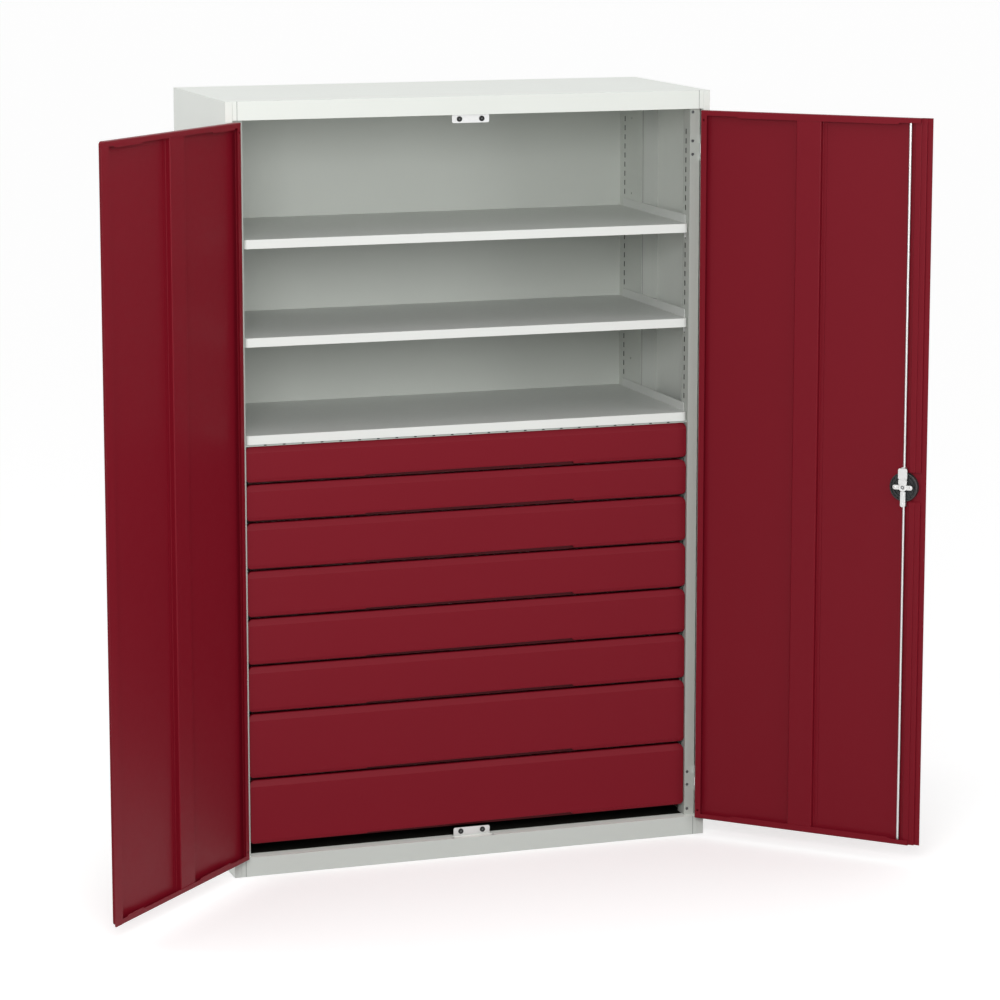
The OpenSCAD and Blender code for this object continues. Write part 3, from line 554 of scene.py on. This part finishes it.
def buffer(x, z):
    profile = [(2.6, buffer_back + 2), (2.6, buffer_back), (BUFFER_R, buffer_back),
               (BUFFER_R, buffer_face + 1.0), (BUFFER_R - 0.4, buffer_face + 0.3),
               (BUFFER_R - 1.1, buffer_face), (2.9, buffer_face), (2.5, buffer_face + 0.3),
               (2.3, buffer_face + 1.2)]
    return turned(profile, (x, z), "y", 32)


buffer_places = [(side * buffer_x, z) for side in (-1, 1)
                 for z in (buffers_low.z + BUFFER_R, buffers_high.z - BUFFER_R)]
make_piece("buffers", join(*(buffer(*place) for place in buffer_places)),
           rubber, "cabinet", ["door_stop_buffers"])
plug_profile = [(2.2, buffer_face + 1.2), (2.2, buffer_face + 0.9), (1.9, buffer_face + 0.7)]
plugs = join(*(turned(plug_profile, place, "y", 24) for place in buffer_places))
make_piece("buffer_plugs", plugs, rubber_grey, "cabinet")


# Doors. Each is a folded pan with returns on the inside. Narrow tabs widen the returns,
# and small drain holes sit near the corners. They are modelled shut and swung open.
DOOR_RED = srgb(124, 16, 32)
red_paint = powder_paint("red_paint", DOOR_RED, 0.40, 0.25, 0.17)

DOOR_SHEET = 1.2
DOOR_T = 18
FOLD_R = 2.2
SIDE_RETURN = 17
END_RETURN = 13
TAB_DEPTH = 4
OPEN_ANGLE = math.radians(135)
HINGE_GAP = 3
STRIP_W = 18

side_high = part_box("side_panel_right")[1] / MM
front_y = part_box("side_panel_right")[0].y / MM
door_back = front_y + DOOR_T
door_side = side_high.x - STRIP_W - HINGE_GAP
door_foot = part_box("door_right_shell")[0].z / MM
door_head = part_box("door_right_shell")[1].z / MM


def swung(side):
    """Turns a piece drawn on a shut right door to where that door is stored."""
    mirror = Matrix.Scale(side, 4, (1, 0, 0))
    pivot = Matrix.Translation(Vector((hinge_x, hinge_y, 0)) * MM)
    return mirror @ pivot @ Matrix.Rotation(OPEN_ANGLE, 4, "Z") @ pivot.inverted()


def pan_profile():
    """Bent edge of a door as (side inset, end inset, y), round the sheet's edge."""
    arc = [(1 - math.cos(math.pi / 8 * i), 1 - math.sin(math.pi / 8 * i)) for i in range(5)]
    inner = FOLD_R - DOOR_SHEET
    rows = [(FOLD_R * a, FOLD_R * a, front_y + FOLD_R * b) for b, a in arc]
    rows += [(FOLD_R * a, FOLD_R * a, door_back - FOLD_R * b) for a, b in arc]
    rows += [(SIDE_RETURN, END_RETURN, door_back),
             (SIDE_RETURN, END_RETURN, door_back - DOOR_SHEET)]
    rows += [(DOOR_SHEET + inner * a, DOOR_SHEET + inner * a, door_back - DOOR_SHEET - inner * b)
             for a, b in arc[::-1]]
    rows += [(DOOR_SHEET + inner * a, DOOR_SHEET + inner * a, front_y + DOOR_SHEET + inner * b)
             for b, a in arc[::-1]]
    return rows


def corner_arc(x, z, radius, start, steps=6):
    """A quarter circle round (x, z) from a start angle, in quarter turns."""
    angles = [(start + i / steps) * math.pi / 2 for i in range(steps + 1)]
    return [(x + radius * math.cos(a), z + radius * math.sin(a)) for a in angles]


def pan(free_x, free_r):
    """Folded door pan. Without a free radius it stays open at its free edge."""
    rings = []
    for side, end, y in pan_profile():
        tight = max(2.5 - side, 0.4)
        right, top, foot = door_side - side, door_head - end, door_foot + end
        ring = corner_arc(right - tight, foot + tight, tight, 3)
        ring += corner_arc(right - tight, top - tight, tight, 0)
        if free_r:
            wide = max(free_r - side, 0.4)
            left = free_x + side
            ring += corner_arc(left + wide, top - wide, wide, 1)
            ring += corner_arc(left + wide, foot + wide, wide, 2)
        else:
            ring = [(free_x, foot)] + ring + [(free_x, top)]
        rings.append([(x, y, z) for x, z in ring])
    corners, faces = stacked(rings, gap=not free_r)
    if not free_r:
        count = len(rings[0])
        for i in (0, count - 1):
            faces.append(tuple(row * count + i for row in range(len(rings))))
    return corners, faces


def make_solid(name, shape):
    corners, faces = shape
    solid = bpy.data.objects.new(name, clean_mesh(name, corners, faces, 1e-5))
    bpy.context.scene.collection.objects.link(solid)
    return solid


def drilled(shape, holes):
    """The shape with round holes cut through it, given as the pins that fill them."""
    solid = make_solid("blank", shape)
    drills = make_solid("drills", join(*holes))
    cut = solid.modifiers.new("cut", "BOOLEAN")
    cut.operation = "DIFFERENCE"
    cut.solver = "EXACT"
    cut.object = drills
    result = solid.evaluated_get(bpy.context.evaluated_depsgraph_get()).to_mesh()
    corners = [tuple(v.co) for v in result.vertices]
    faces = [tuple(face.vertices) for face in result.polygons]
    for blank in (solid, drills):
        mesh = blank.data
        bpy.data.objects.remove(blank)
        bpy.data.meshes.remove(mesh)
    return corners, faces


def return_tabs(stretches):
    """Wider stretches of the end returns, from x to x, at the head or at the foot."""
    tabs = []
    for x0, x1, at_head in stretches:
        edge = door_head - END_RETURN if at_head else door_foot + END_RETURN
        tip = edge - TAB_DEPTH if at_head else edge + TAB_DEPTH
        outline = [(x0, edge), (x0 + 5, tip), (x1 - 5, tip), (x1, edge)]
        tabs.append(prism(outline, "y", door_back - DOOR_SHEET, door_back))
    return join(*tabs)


HOLE_R = 3.2
HOLE_IN = 8.5
HOLE_HEAD = 25
HOLE_FOOT = 22
LEFT_FREE_X = 3.2
LEFT_FREE_R = 8



def corner_holes(x):
    """Pins for the two holes of a door at this distance from the middle of the cabinet."""
    return [turned([(HOLE_R, door_back - DOOR_SHEET - 1), (HOLE_R, door_back + 1)], (x, z), "y", 24)
            for z in (door_foot + HOLE_FOOT, door_head - HOLE_HEAD)]


hinge_holes = corner_holes(door_side - HOLE_IN)
left_pan = join(
    drilled(pan(LEFT_FREE_X, LEFT_FREE_R), hinge_holes + corner_holes(LEFT_FREE_X + HOLE_IN)),
    return_tabs([(42, 171, True), (490, 602, True), (384, 537, False), (42, 120, False)]),
)
make_piece("left_door_pan", left_pan, red_paint, "door_left", ["door_left_shell"],
           swung(-1))

# Right door. Its free edge is a flat hem, with two stepped ridges beside it that hold the
# locking rods. They stop short of the lock.
HEM_EDGE = -1.6
HEM_W = 13.6
RIDGE_W = 14
RIDGE_D = 11
RIDGE_STEP = 3
LOCK_CLEAR = 39
LOCK_X = 56
BUSH_HOLE_R = 5.9

hem_x = HEM_EDGE + HEM_W
ridge_x = hem_x + RIDGE_W
ridge_end = ridge_x + RIDGE_W + 2
half_sheet = DOOR_SHEET / 2
hem_back = front_y + DOOR_SHEET + half_sheet
lock_z = (door_foot + door_head) / 2
low_ridge = front_y + RIDGE_D - RIDGE_STEP - half_sheet
high_ridge = front_y + RIDGE_D - half_sheet

hem = bent_sheet(
    [(ridge_x, front_y + half_sheet), (HEM_EDGE + half_sheet, front_y + half_sheet),
     (HEM_EDGE + half_sheet, hem_back), (hem_x + half_sheet, hem_back)],
    half_sheet - 0.01, DOOR_SHEET, "z", door_foot, door_head,
)
ridges = [
    bent_sheet(
        [(hem_x + half_sheet, hem_back), (hem_x + half_sheet, low_ridge),
         (ridge_x + half_sheet, low_ridge), (ridge_x + half_sheet, high_ridge),
         (ridge_end - half_sheet, high_ridge), (ridge_end - half_sheet, front_y + DOOR_SHEET)],
        0.9, DOOR_SHEET, "z", start, end,
    )
    for start, end in ((door_foot, lock_z - LOCK_CLEAR), (lock_z + LOCK_CLEAR, door_head))
]
rod_y = (front_y + door_back) / 2
bush_holes = [
    turned([(BUSH_HOLE_R, wall - DOOR_SHEET - 1), (BUSH_HOLE_R, wall + DOOR_SHEET + 1)],
           (LOCK_X, rod_y), "z", 32)
    for wall in (door_foot, door_head)
]
right_pan = join(
    drilled(pan(ridge_x, 0), hinge_holes + bush_holes),
    return_tabs([(83, 529, True), (78, 527, False)]),
    hem, *ridges,
)
make_piece("right_door_pan", right_pan, red_paint, "door_right", ["door_right_shell"],
           swung(1))

# Stiffeners. A top-hat section runs up the inside of each door, welded through its two
# flanges. The left door also carries the closing strip.
STIFF_W = 67
STIFF_FLANGE = 12
STIFF_FROM_HINGE = 300
STIFF_SHORT = 1.5
WELD_PITCH = 150

stiff_x = door_side - STIFF_FROM_HINGE
flange_y = front_y + DOOR_SHEET + half_sheet
crown_y = door_back - STIFF_SHORT - half_sheet
stiff_section = [
    (stiff_x - STIFF_W / 2 - STIFF_FLANGE, flange_y), (stiff_x - STIFF_W / 2, flange_y),
    (stiff_x - STIFF_W / 2, crown_y), (stiff_x + STIFF_W / 2, crown_y),
    (stiff_x + STIFF_W / 2, flange_y), (stiff_x + STIFF_W / 2 + STIFF_FLANGE, flange_y),
]
stiff_foot = door_foot + FOLD_R
stiff_head = door_head - FOLD_R
stiffener = bent_sheet(stiff_section, 2.0, DOOR_SHEET, "z", stiff_foot, stiff_head)
weld_face = flange_y + half_sheet
welds = join(*(
    turned([(2.6, weld_face), (2.2, weld_face + 0.15), (1.2, weld_face + 0.05)],
           (stiff_x + side * (STIFF_W / 2 + 7), stiff_foot + 60 + i * WELD_PITCH), "y", 16)
    for side in (-1, 1) for i in range(int((stiff_head - stiff_foot - 60) / WELD_PITCH) + 1)
))
for side, door in ((-1, "left"), (1, "right")):
    make_piece(f"{door}_door_stiffener", join(stiffener, welds), red_paint,
               f"door_{door}", [f"door_{door}_stiffener"], swung(side))
finish_node("door_left_closing_strip", red_paint, 0.0004, 3)

# Lock housing. One black moulding: a plate on the outside, and inside a round cup with
# concentric walls and radial ribs round the spindle.
LOCK_RING_R = 38
LOCK_PLATE_R = 34
PLATE_STAND = 3
KNOB_R = 27
SPINDLE_R = 6
CUP_DEPTH = 5
RIB_COUNT = 16

lock_at = (LOCK_X, lock_z)
right_swing = swung(1)
cam_y = door_back + DOOR_SHEET + 0.3
link_back = cam_y - 1.5
link_front = link_back - 3
ring_top = link_front - 1
inside_skin = front_y + DOOR_SHEET
cup_floor = ring_top - CUP_DEPTH

cup = turned(
    [(12, inside_skin + 0.1), (LOCK_RING_R, inside_skin + 0.1), (LOCK_RING_R, ring_top - 1.6),
     (LOCK_RING_R - 0.6, ring_top - 0.5), (LOCK_RING_R - 1.8, ring_top),
     (LOCK_RING_R - 3.2, ring_top), (LOCK_RING_R - 3.8, ring_top - 0.6),
     (LOCK_RING_R - 4.1, cup_floor), (29.4, cup_floor), (29.1, ring_top - 1.1),
     (28.7, ring_top - 0.6), (27.1, ring_top - 0.6), (26.7, ring_top - 1.1), (26.4, cup_floor),
     (20.4, cup_floor), (20.1, ring_top - 1.5), (19.6, ring_top - 1), (18.4, ring_top - 1),
     (17.9, ring_top - 1.5), (17.6, cup_floor), (12.6, cup_floor), (12.2, ring_top - 0.6),
     (11.6, ring_top), (SPINDLE_R + 0.3, ring_top), (SPINDLE_R + 0.3, inside_skin + 0.1)],
    lock_at, "y", 72,
)
ribs = []
for i in range(RIB_COUNT):
    turn = 2 * math.pi * (i + 0.5) / RIB_COUNT
    along = Vector((math.cos(turn), math.sin(turn)))
    aside = Vector((-along.y, along.x)) * 0.8
    middle = Vector(lock_at)
    outline = [middle + along * r + aside * s for r, s in oblong(12, 34.5, -1, 1)]
    ribs.append(prism([tuple(p) for p in outline], "y", cup_floor - 0.5, ring_top - 1.8))
plate_face = front_y - PLATE_STAND
outer_plate = turned(
    [(12, front_y - 0.06), (LOCK_PLATE_R, front_y - 0.06), (LOCK_PLATE_R, plate_face + 0.9),
     (LOCK_PLATE_R - 0.5, plate_face + 0.25), (LOCK_PLATE_R - 1.6, plate_face),
     (KNOB_R + 1.8, plate_face), (KNOB_R + 1.1, plate_face + 0.3),
     (KNOB_R + 0.6, plate_face + 1), (KNOB_R + 0.6, front_y - 0.5), (12, front_y - 0.5)],
    lock_at, "y", 72,
)
make_piece("lock_cup", join(cup, *ribs, outer_plate), black_plastic, "door_right",
           ["lock_housing"], right_swing)
finish_node("rod_bushes", black_plastic, 0.0005, 3)

# Knob. A round black knob with a finger bar, a fluted edge and the spindle that carries
# the cam. The key barrel turns inside it.
BAR_W = 18
BAR_REACH = 23
FLUTES = 36
knob_face = front_y - 6
bar_face = front_y - 18


def fluted_disc(radius, depth, front, back):
    """A disc whose edge is cut with shallow flutes, chamfered in front."""
    turns = [2 * math.pi * i / (FLUTES * 4) for i in range(FLUTES * 4)]
    rings = []
    for r, y, cut in ((radius - 1.4, front, 0), (radius - 0.5, front + 0.4, 0.4),
                      (radius, front + 1.2, 1), (radius, back, 1)):
        reaches = [r - depth * cut * (0.5 - 0.5 * math.cos(FLUTES * turn)) for turn in turns]
        rings.append([(LOCK_X + reach * math.cos(turn), y, lock_z + reach * math.sin(turn))
                      for reach, turn in zip(reaches, turns)])
    return stacked(rings)


def finger_bar():
    """Bar across the knob, with round ends, narrower in front."""
    rings = []
    for grow, y in ((0.8, knob_face + 1), (0.4, bar_face + 5), (-0.4, bar_face + 1.6),
                    (-1.0, bar_face + 0.5), (-2.2, bar_face)):
        half = BAR_W / 2 - 0.8 + grow
        off = BAR_REACH - 0.8 + grow - half
        centres = (lock_z + off, lock_z + off, lock_z - off, lock_z - off)
        rings.append([(x, y, z) for corner, centre in enumerate(centres)
                      for x, z in corner_arc(LOCK_X, centre, half, corner)])
    return stacked(rings)


spindle = turned([(SPINDLE_R, front_y - 1), (SPINDLE_R, cam_y)], lock_at, "y", 32)
knob = join(fluted_disc(KNOB_R, 0.7, knob_face, front_y - 0.8), finger_bar(), spindle)
make_piece("lock_knob_turned", knob, black_plastic, "lock", ["lock_knob"],
           right_swing)

BARREL_R = 6.9
barrel_face = front_y - 18.5
barrel_shape = turned(
    [(BARREL_R, front_y - 6), (BARREL_R, barrel_face + 0.4), (BARREL_R - 0.4, barrel_face),
     (BARREL_R - 1.3, barrel_face), (BARREL_R - 1.5, barrel_face + 0.25),
     (3.4, barrel_face + 0.25)],
    lock_at, "y", 40,
)
# The key slot is a black plate on the barrel's face, painted shade standing in for a cut slot.
keyway = prism(oblong(LOCK_X - 0.9, LOCK_X + 0.9, lock_z - 3.2, lock_z + 3.2),
               "y", barrel_face + 0.2, barrel_face + 0.6)
keyway_black_shade = moulded("keyway_shade_plate", srgb(12, 12, 12), 0.8, 900.0, 0.2)
make_piece("key_barrel_turned", barrel_shape, zinc, "key", ["key_barrel"], right_swing)
make_piece("keyway", keyway, keyway_black_shade, "key", (), right_swing)

# Cam. A pressed zinc cam sits on the spindle: a hub with its screw, two arms with a
# rivet each, and the tongue that passes behind the left door's closing strip.
HUB_R = 11
ARM_R = 27
ARM_W = 12
CAM_T = 2.5
TONGUE_W = 25
TONGUE_R = 5
TONGUE_GROOVE = 21
TONGUE_TIP = 49.6

cam_top = cam_y + CAM_T
hub = turned(
    [(SPINDLE_R + 0.3, link_front + 0.2), (HUB_R - 0.6, link_front + 0.2),
     (HUB_R, link_front + 0.8), (HUB_R, cam_top - 0.6), (HUB_R - 0.2, cam_top - 0.2),
     (HUB_R - 0.7, cam_top), (6.2, cam_top), (5.8, cam_top - 0.5), (5.8, cam_top - 1.2),
     (0.5, cam_top - 1.2)],
    lock_at, "y", 48,
)


def pill(x0, x1, width):
    """Outline of a bar along X with round ends."""
    half = width / 2
    right, left = x1 - half, x0 + half
    return (corner_arc(right, lock_z, half, 3) + corner_arc(right, lock_z, half, 0)
            + corner_arc(left, lock_z, half, 1) + corner_arc(left, lock_z, half, 2))


arms = prism(pill(LOCK_X - ARM_R, LOCK_X + ARM_R, ARM_W), "y", cam_y, cam_top - 0.4)
studs = [
    turned([(2.5, cam_y - 1)] + dome(3.4, cam_top - 0.4, 0.8),
           (LOCK_X + side * (ARM_R - ARM_W / 2), lock_z), "y", 28)
    for side in (-1, 1)
]
half_tongue = TONGUE_W / 2
tongue_left, tongue_right = LOCK_X - half_tongue, LOCK_X + half_tongue
groove_z = lock_z + TONGUE_GROOVE
tip_z = lock_z + TONGUE_TIP - TONGUE_R
tongue_root = prism(
    [(tongue_left + 3, lock_z + 6), (tongue_right - 3, lock_z + 6),
     (tongue_right - 1, lock_z + 9), (tongue_right - 1, groove_z - 1.4),
     (tongue_left + 1, groove_z - 1.4), (tongue_left + 1, lock_z + 9)],
    "y", cam_y, cam_top - 0.2,
)
tongue_neck = prism(oblong(tongue_left + 2, tongue_right - 2, groove_z - 2, groove_z + 2),
                    "y", cam_y, cam_top - 1.7)
tongue_head = prism(
    [(tongue_left, groove_z + 1.4), (tongue_right, groove_z + 1.4)]
    + corner_arc(tongue_right - TONGUE_R, tip_z, TONGUE_R, 0)
    + corner_arc(tongue_left + TONGUE_R, tip_z, TONGUE_R, 1),
    "y", cam_y, cam_top,
)
cam = join(hub, arms, *studs, tongue_root, tongue_neck, tongue_head)
make_piece("cam_pressed", cam, zinc, "lock", ["lock_cam"], right_swing, 0.35)
cam_screw_head = socket_head(lock_at, cam_top + 0.1, 5.0, 2.2, 1.0, -1)
make_piece("cam_screw_socket", cam_screw_head, blued_steel, "lock", ["cam_screw"],
           right_swing)

# Locking rods. Round rods run in the door's ridge to its ends. Each has a flat link with
# sloping shoulders at the lock, held by two rivets.
ROD_R = 3.5
LINK_W = 14
LINK_START = HUB_R + 0.5
CLEVIS = LOCK_RING_R + 2
LINK_END = CLEVIS + 12


def rod_with_link(up, tip):
    """Rod, link and rivets above the lock, or below it where up is -1."""

    def z(height):
        return lock_z + up * height

    half = LINK_W / 2
    shoulders = [(LOCK_X + half, z(LINK_END - 3)), (LOCK_X + ROD_R, z(LINK_END)),
                 (LOCK_X - ROD_R, z(LINK_END)), (LOCK_X - half, z(LINK_END - 3))]
    start = [(LOCK_X - half + 1.5, z(LINK_START)), (LOCK_X + half - 1.5, z(LINK_START)),
             (LOCK_X + half, z(LINK_START + 1.5))]
    flat = prism(start + shoulders + [(LOCK_X - half, z(LINK_START + 1.5))],
                 "y", link_front, link_back)
    block = prism([(LOCK_X - half, z(CLEVIS)), (LOCK_X + half, z(CLEVIS))] + shoulders,
                  "y", rod_y - ROD_R, link_front + 0.01)
    rivets = [turned(dome(2.2, link_back, 0.6), (LOCK_X, z(height)), "y", 20)
              for height in (LINK_START + 6, CLEVIS + 4)]
    bar = turned([(ROD_R, z(CLEVIS + 6)), (ROD_R, tip - up * 3), (ROD_R - 0.5, tip - up * 1.2),
                  (ROD_R - 1.6, tip)], (LOCK_X, rod_y), "z", 28)
    return join(flat, block, bar, *rivets)


for name, up, tip in (("upper", 1, door_head - 0.5), ("lower", -1, door_foot + 0.5)):
    make_piece(f"{name}_rod", rod_with_link(up, tip), zinc, f"rod_{name}",
               [f"lock_rod_{name}"], right_swing, 0.3)


# Drawers. Each front is pressed from red sheet: bevelled along the top, folded back all
# round, with a finger recess in its lower edge. The boxes behind it are folded from light
# grey sheet and run on zinc slides.
DRAWER_COUNT = 8
FRONT_SHEET = 1.2
FRONT_DEPTH = 20
FRONT_RAISE = 5
LIP_IN = 17
TOP_R = 14
LOW_R = 10
BEVEL_DEPTH = 8
LOW_DEPTH = 2
FOLD = 1.5
GRIP_HALF = 278
GRIP_H = 9
GRIP_DEPTH = 13

front_paint = powder_paint("front_paint", DOOR_RED, 0.40, 0.25, 0.17)
# Painted shade: the parts of each front lying deep behind its face, the lip behind the gap below it
# and the back of the finger recess, are painted darker.
darken(front_paint, 0.6, ("Object", "Y", 0.2315, 0.2395))
drawer_paint = powder_paint("drawer_paint", srgb(214, 217, 212), 0.42, 0.25)


def front_ring(half, foot, head, inset):
    """Outline of a drawer front as (x, z), with its finger recess, set in by inset."""
    right, low, top = half - inset, foot + inset, head - inset
    top_r, low_r = TOP_R - inset, LOW_R - inset
    slant = 0.414 * inset
    fold_rows = (head - TOP_R - 3, head - TOP_R - 1.5)
    ring = corner_arc(right - low_r, low + low_r, low_r, 3)
    ring += [(right, z) for z in fold_rows]
    ring += corner_arc(right - top_r, top - top_r, top_r, 0)
    ring += corner_arc(top_r - right, top - top_r, top_r, 1)
    ring += [(-right, z) for z in fold_rows[::-1]]
    ring += corner_arc(low_r - right, low + low_r, low_r, 2)
    ring += [(-GRIP_HALF - GRIP_H - slant, low), (-GRIP_HALF - slant, low + GRIP_H),
             (GRIP_HALF + slant, low + GRIP_H), (GRIP_HALF + GRIP_H + slant, low)]
    return ring


def front_surface(z, foot, head):
    """How far back a front's face lies at this height: a bevel, flat, and a second bevel."""
    if z < foot + LOW_R:
        return LOW_DEPTH * (foot + LOW_R - z) / LOW_R
    rise = z - (head - TOP_R)
    if rise <= -2.9:
        return 0
    if rise <= -1.4:
        return 0.2
    return 0.8 + (BEVEL_DEPTH - 0.8) * max(rise, 0) / TOP_R


def front_shape(half, foot, head, face):
    """Front with its folds, recess and lip. The foot is the height of its lower edge."""
    rings = []
    for inset, back in ((FOLD, 0), (0.45, 0.44), (0, FOLD), (0, None), (FRONT_SHEET, None),
                        (FRONT_SHEET, FRONT_SHEET)):
        depths = [(x, FRONT_DEPTH if back is None else front_surface(z, foot, head) + back, z)
                  for x, z in front_ring(half, foot, head, inset)]
        rings.append([(x, face + depth, z) for x, depth, z in depths])
    corners, faces = stacked(rings, ends=False)
    count = len(rings[0])
    bands = ([*range(25, count), *range(7)], (6, 7, 24, 25), (7, 8, 23, 24), (8, 9, 22, 23),
             range(9, 23))
    for first in (0, len(corners) - count):
        faces += [tuple(first + i for i in band) for band in bands]
    recess = prism(
        [(-GRIP_HALF - GRIP_H, foot), (GRIP_HALF + GRIP_H, foot),
         (GRIP_HALF + 1, foot + GRIP_H), (-GRIP_HALF - 1, foot + GRIP_H)],
        "y", face + GRIP_DEPTH, face + GRIP_DEPTH + FRONT_SHEET,
    )
    lip = prism(oblong(LOW_R - half, half - LOW_R, foot - FRONT_RAISE + 0.2, foot + 1),
                "y", face + LIP_IN, face + LIP_IN + FRONT_SHEET)
    return join((corners, faces), recess, lip)


for i in range(1, DRAWER_COUNT + 1):
    low, high = (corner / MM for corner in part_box(f"drawer_{i}_front"))
    shape = front_shape(high.x, low.z + FRONT_RAISE, high.z, low.y)
    make_piece(f"drawer_{i}_pressed_front", shape, front_paint, f"drawer_{i}",
               [f"drawer_{i}_front"])
    finish_node(f"drawer_{i}_box", drawer_paint, 0.0003)
    finish_node(f"drawer_{i}_slides", zinc, 0.0003)

# Slot row. The rail between the lowest shelf and the first drawer has a row of punched slots.
# Dark marks larger than the slots are laid on its face, painted shade for their dark insides.
RAIL_PITCH = 50
RAIL_SLOT_W = 7
RAIL_SLOT_H = 2.6

rail_low, rail_high = (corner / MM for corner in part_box("slotted_rail"))
rail_mid = (rail_low.z + rail_high.z) / 2
rail_count = int(rail_high.x / RAIL_PITCH) - 1
rail_slot_shades = join(*(
    prism(oblong(x - RAIL_SLOT_W / 2, x + RAIL_SLOT_W / 2,
                 rail_mid - RAIL_SLOT_H / 2, rail_mid + RAIL_SLOT_H / 2),
          "y", rail_low.y - 0.05, rail_low.y + 0.5)
    for x in (RAIL_PITCH * i for i in range(-rail_count, rail_count + 1))
))
make_piece("rail_slot_shades", rail_slot_shades, shade_paint, "cabinet")


# Floor and backdrop. A white floor that keeps the cabinet's soft shadow, under a white
# studio. What the camera sees of them is lifted to white.
def camera_or_glossy(tree):
    """1 for what the camera sees, straight or by reflection, and 0 for light."""
    path = tree.nodes.new("ShaderNodeLightPath")
    seen = math_node(tree, "MAXIMUM", path.outputs["Is Camera Ray"], path.outputs["Is Glossy Ray"])
    return math_node(tree, "MAXIMUM", seen, path.outputs["Is Transmission Ray"])


FLOOR_REACH = 60
FLOOR_LIFT = 0.38
FLOOR_SEEN = 0.8
FLOOR_BOUNCE = 0.12
HORIZON_LIGHT = 0.62
ZENITH_LIGHT = 0.8

floor_mesh = bpy.data.meshes.new("floor")
floor_outline = oblong(-FLOOR_REACH, FLOOR_REACH, -FLOOR_REACH, FLOOR_REACH)
floor_mesh.from_pydata([(x, y, 0) for x, y in floor_outline], [], [(0, 1, 2, 3)])
floor = bpy.data.objects.new("floor", floor_mesh)
floor.location.z = -0.0005
bpy.context.scene.collection.objects.link(floor)

floor_white, tree, coat, _ = new_finish("floor_white")
white = tree.nodes.new("ShaderNodeMapRange")
white.inputs["To Min"].default_value = FLOOR_BOUNCE
white.inputs["To Max"].default_value = FLOOR_SEEN
tree.links.new(camera_or_glossy(tree), white.inputs["Value"])
link(tree, white, "Result", coat, "Base Color")
coat.inputs["Roughness"].default_value = 0.9
coat.inputs["Specular IOR Level"].default_value = 0.1
coat.inputs["Emission Color"].default_value = (1, 1, 1, 1)
lift = math_node(tree, "MULTIPLY", camera_or_glossy(tree), FLOOR_LIFT)
tree.links.new(lift, coat.inputs["Emission Strength"])
floor_mesh.materials.append(floor_white)

world = bpy.data.worlds.new("studio")
world.use_nodes = True
bpy.context.scene.world = world
tree = world.node_tree
light_level = tree.nodes["Background"]
light_level.inputs["Color"].default_value = (1, 1, 1, 1)
direction = tree.nodes.new("ShaderNodeTexCoord")
height = tree.nodes.new("ShaderNodeSeparateXYZ")
link(tree, direction, "Generated", height, "Vector")
rise = tree.nodes.new("ShaderNodeMapRange")
rise.inputs["To Min"].default_value = HORIZON_LIGHT
rise.inputs["To Max"].default_value = ZENITH_LIGHT
link(tree, height, "Z", rise, "Value")
link(tree, rise, "Result", light_level, "Strength")
seen_level = tree.nodes.new("ShaderNodeBackground")
seen_level.inputs["Color"].default_value = (1, 1, 1, 1)
seen_level.inputs["Strength"].default_value = 1.0
mix = tree.nodes.new("ShaderNodeMixShader")
tree.links.new(camera_or_glossy(tree), mix.inputs["Fac"])
tree.links.new(light_level.outputs["Background"], mix.inputs[1])
tree.links.new(seen_level.outputs["Background"], mix.inputs[2])
tree.links.new(mix.outputs["Shader"], tree.nodes["World Output"].inputs["Surface"])


# Studio lamps. A large soft key stands in front, high and a little to the left. Weaker
# ones light the left side panel and, from the right, the left door.
def soft_lamp(name, place, aim, size, power):
    data = bpy.data.lights.new(name, "AREA")
    data.shape = "RECTANGLE"
    data.size, data.size_y = size
    data.energy = power
    lamp = bpy.data.objects.new(name, data)
    lamp.location = place
    lamp.rotation_euler = (Vector(aim) - Vector(place)).to_track_quat("-Z", "Y").to_euler()
    bpy.context.scene.collection.objects.link(lamp)


soft_lamp("key", (-1.6, -4.6, 2.55), (0, 0, 1.45), (2.2, 1.6), 108)
soft_lamp("right", (3.6, -4.4, 2.1), (-0.7, -0.4, 1.0), (1.5, 1.5), 30)
soft_lamp("side", (-4.2, 1.3, 2.2), (-0.65, 0, 1.1), (1.5, 1.5), 33)

bpy.context.scene.view_settings.view_transform = "Standard"
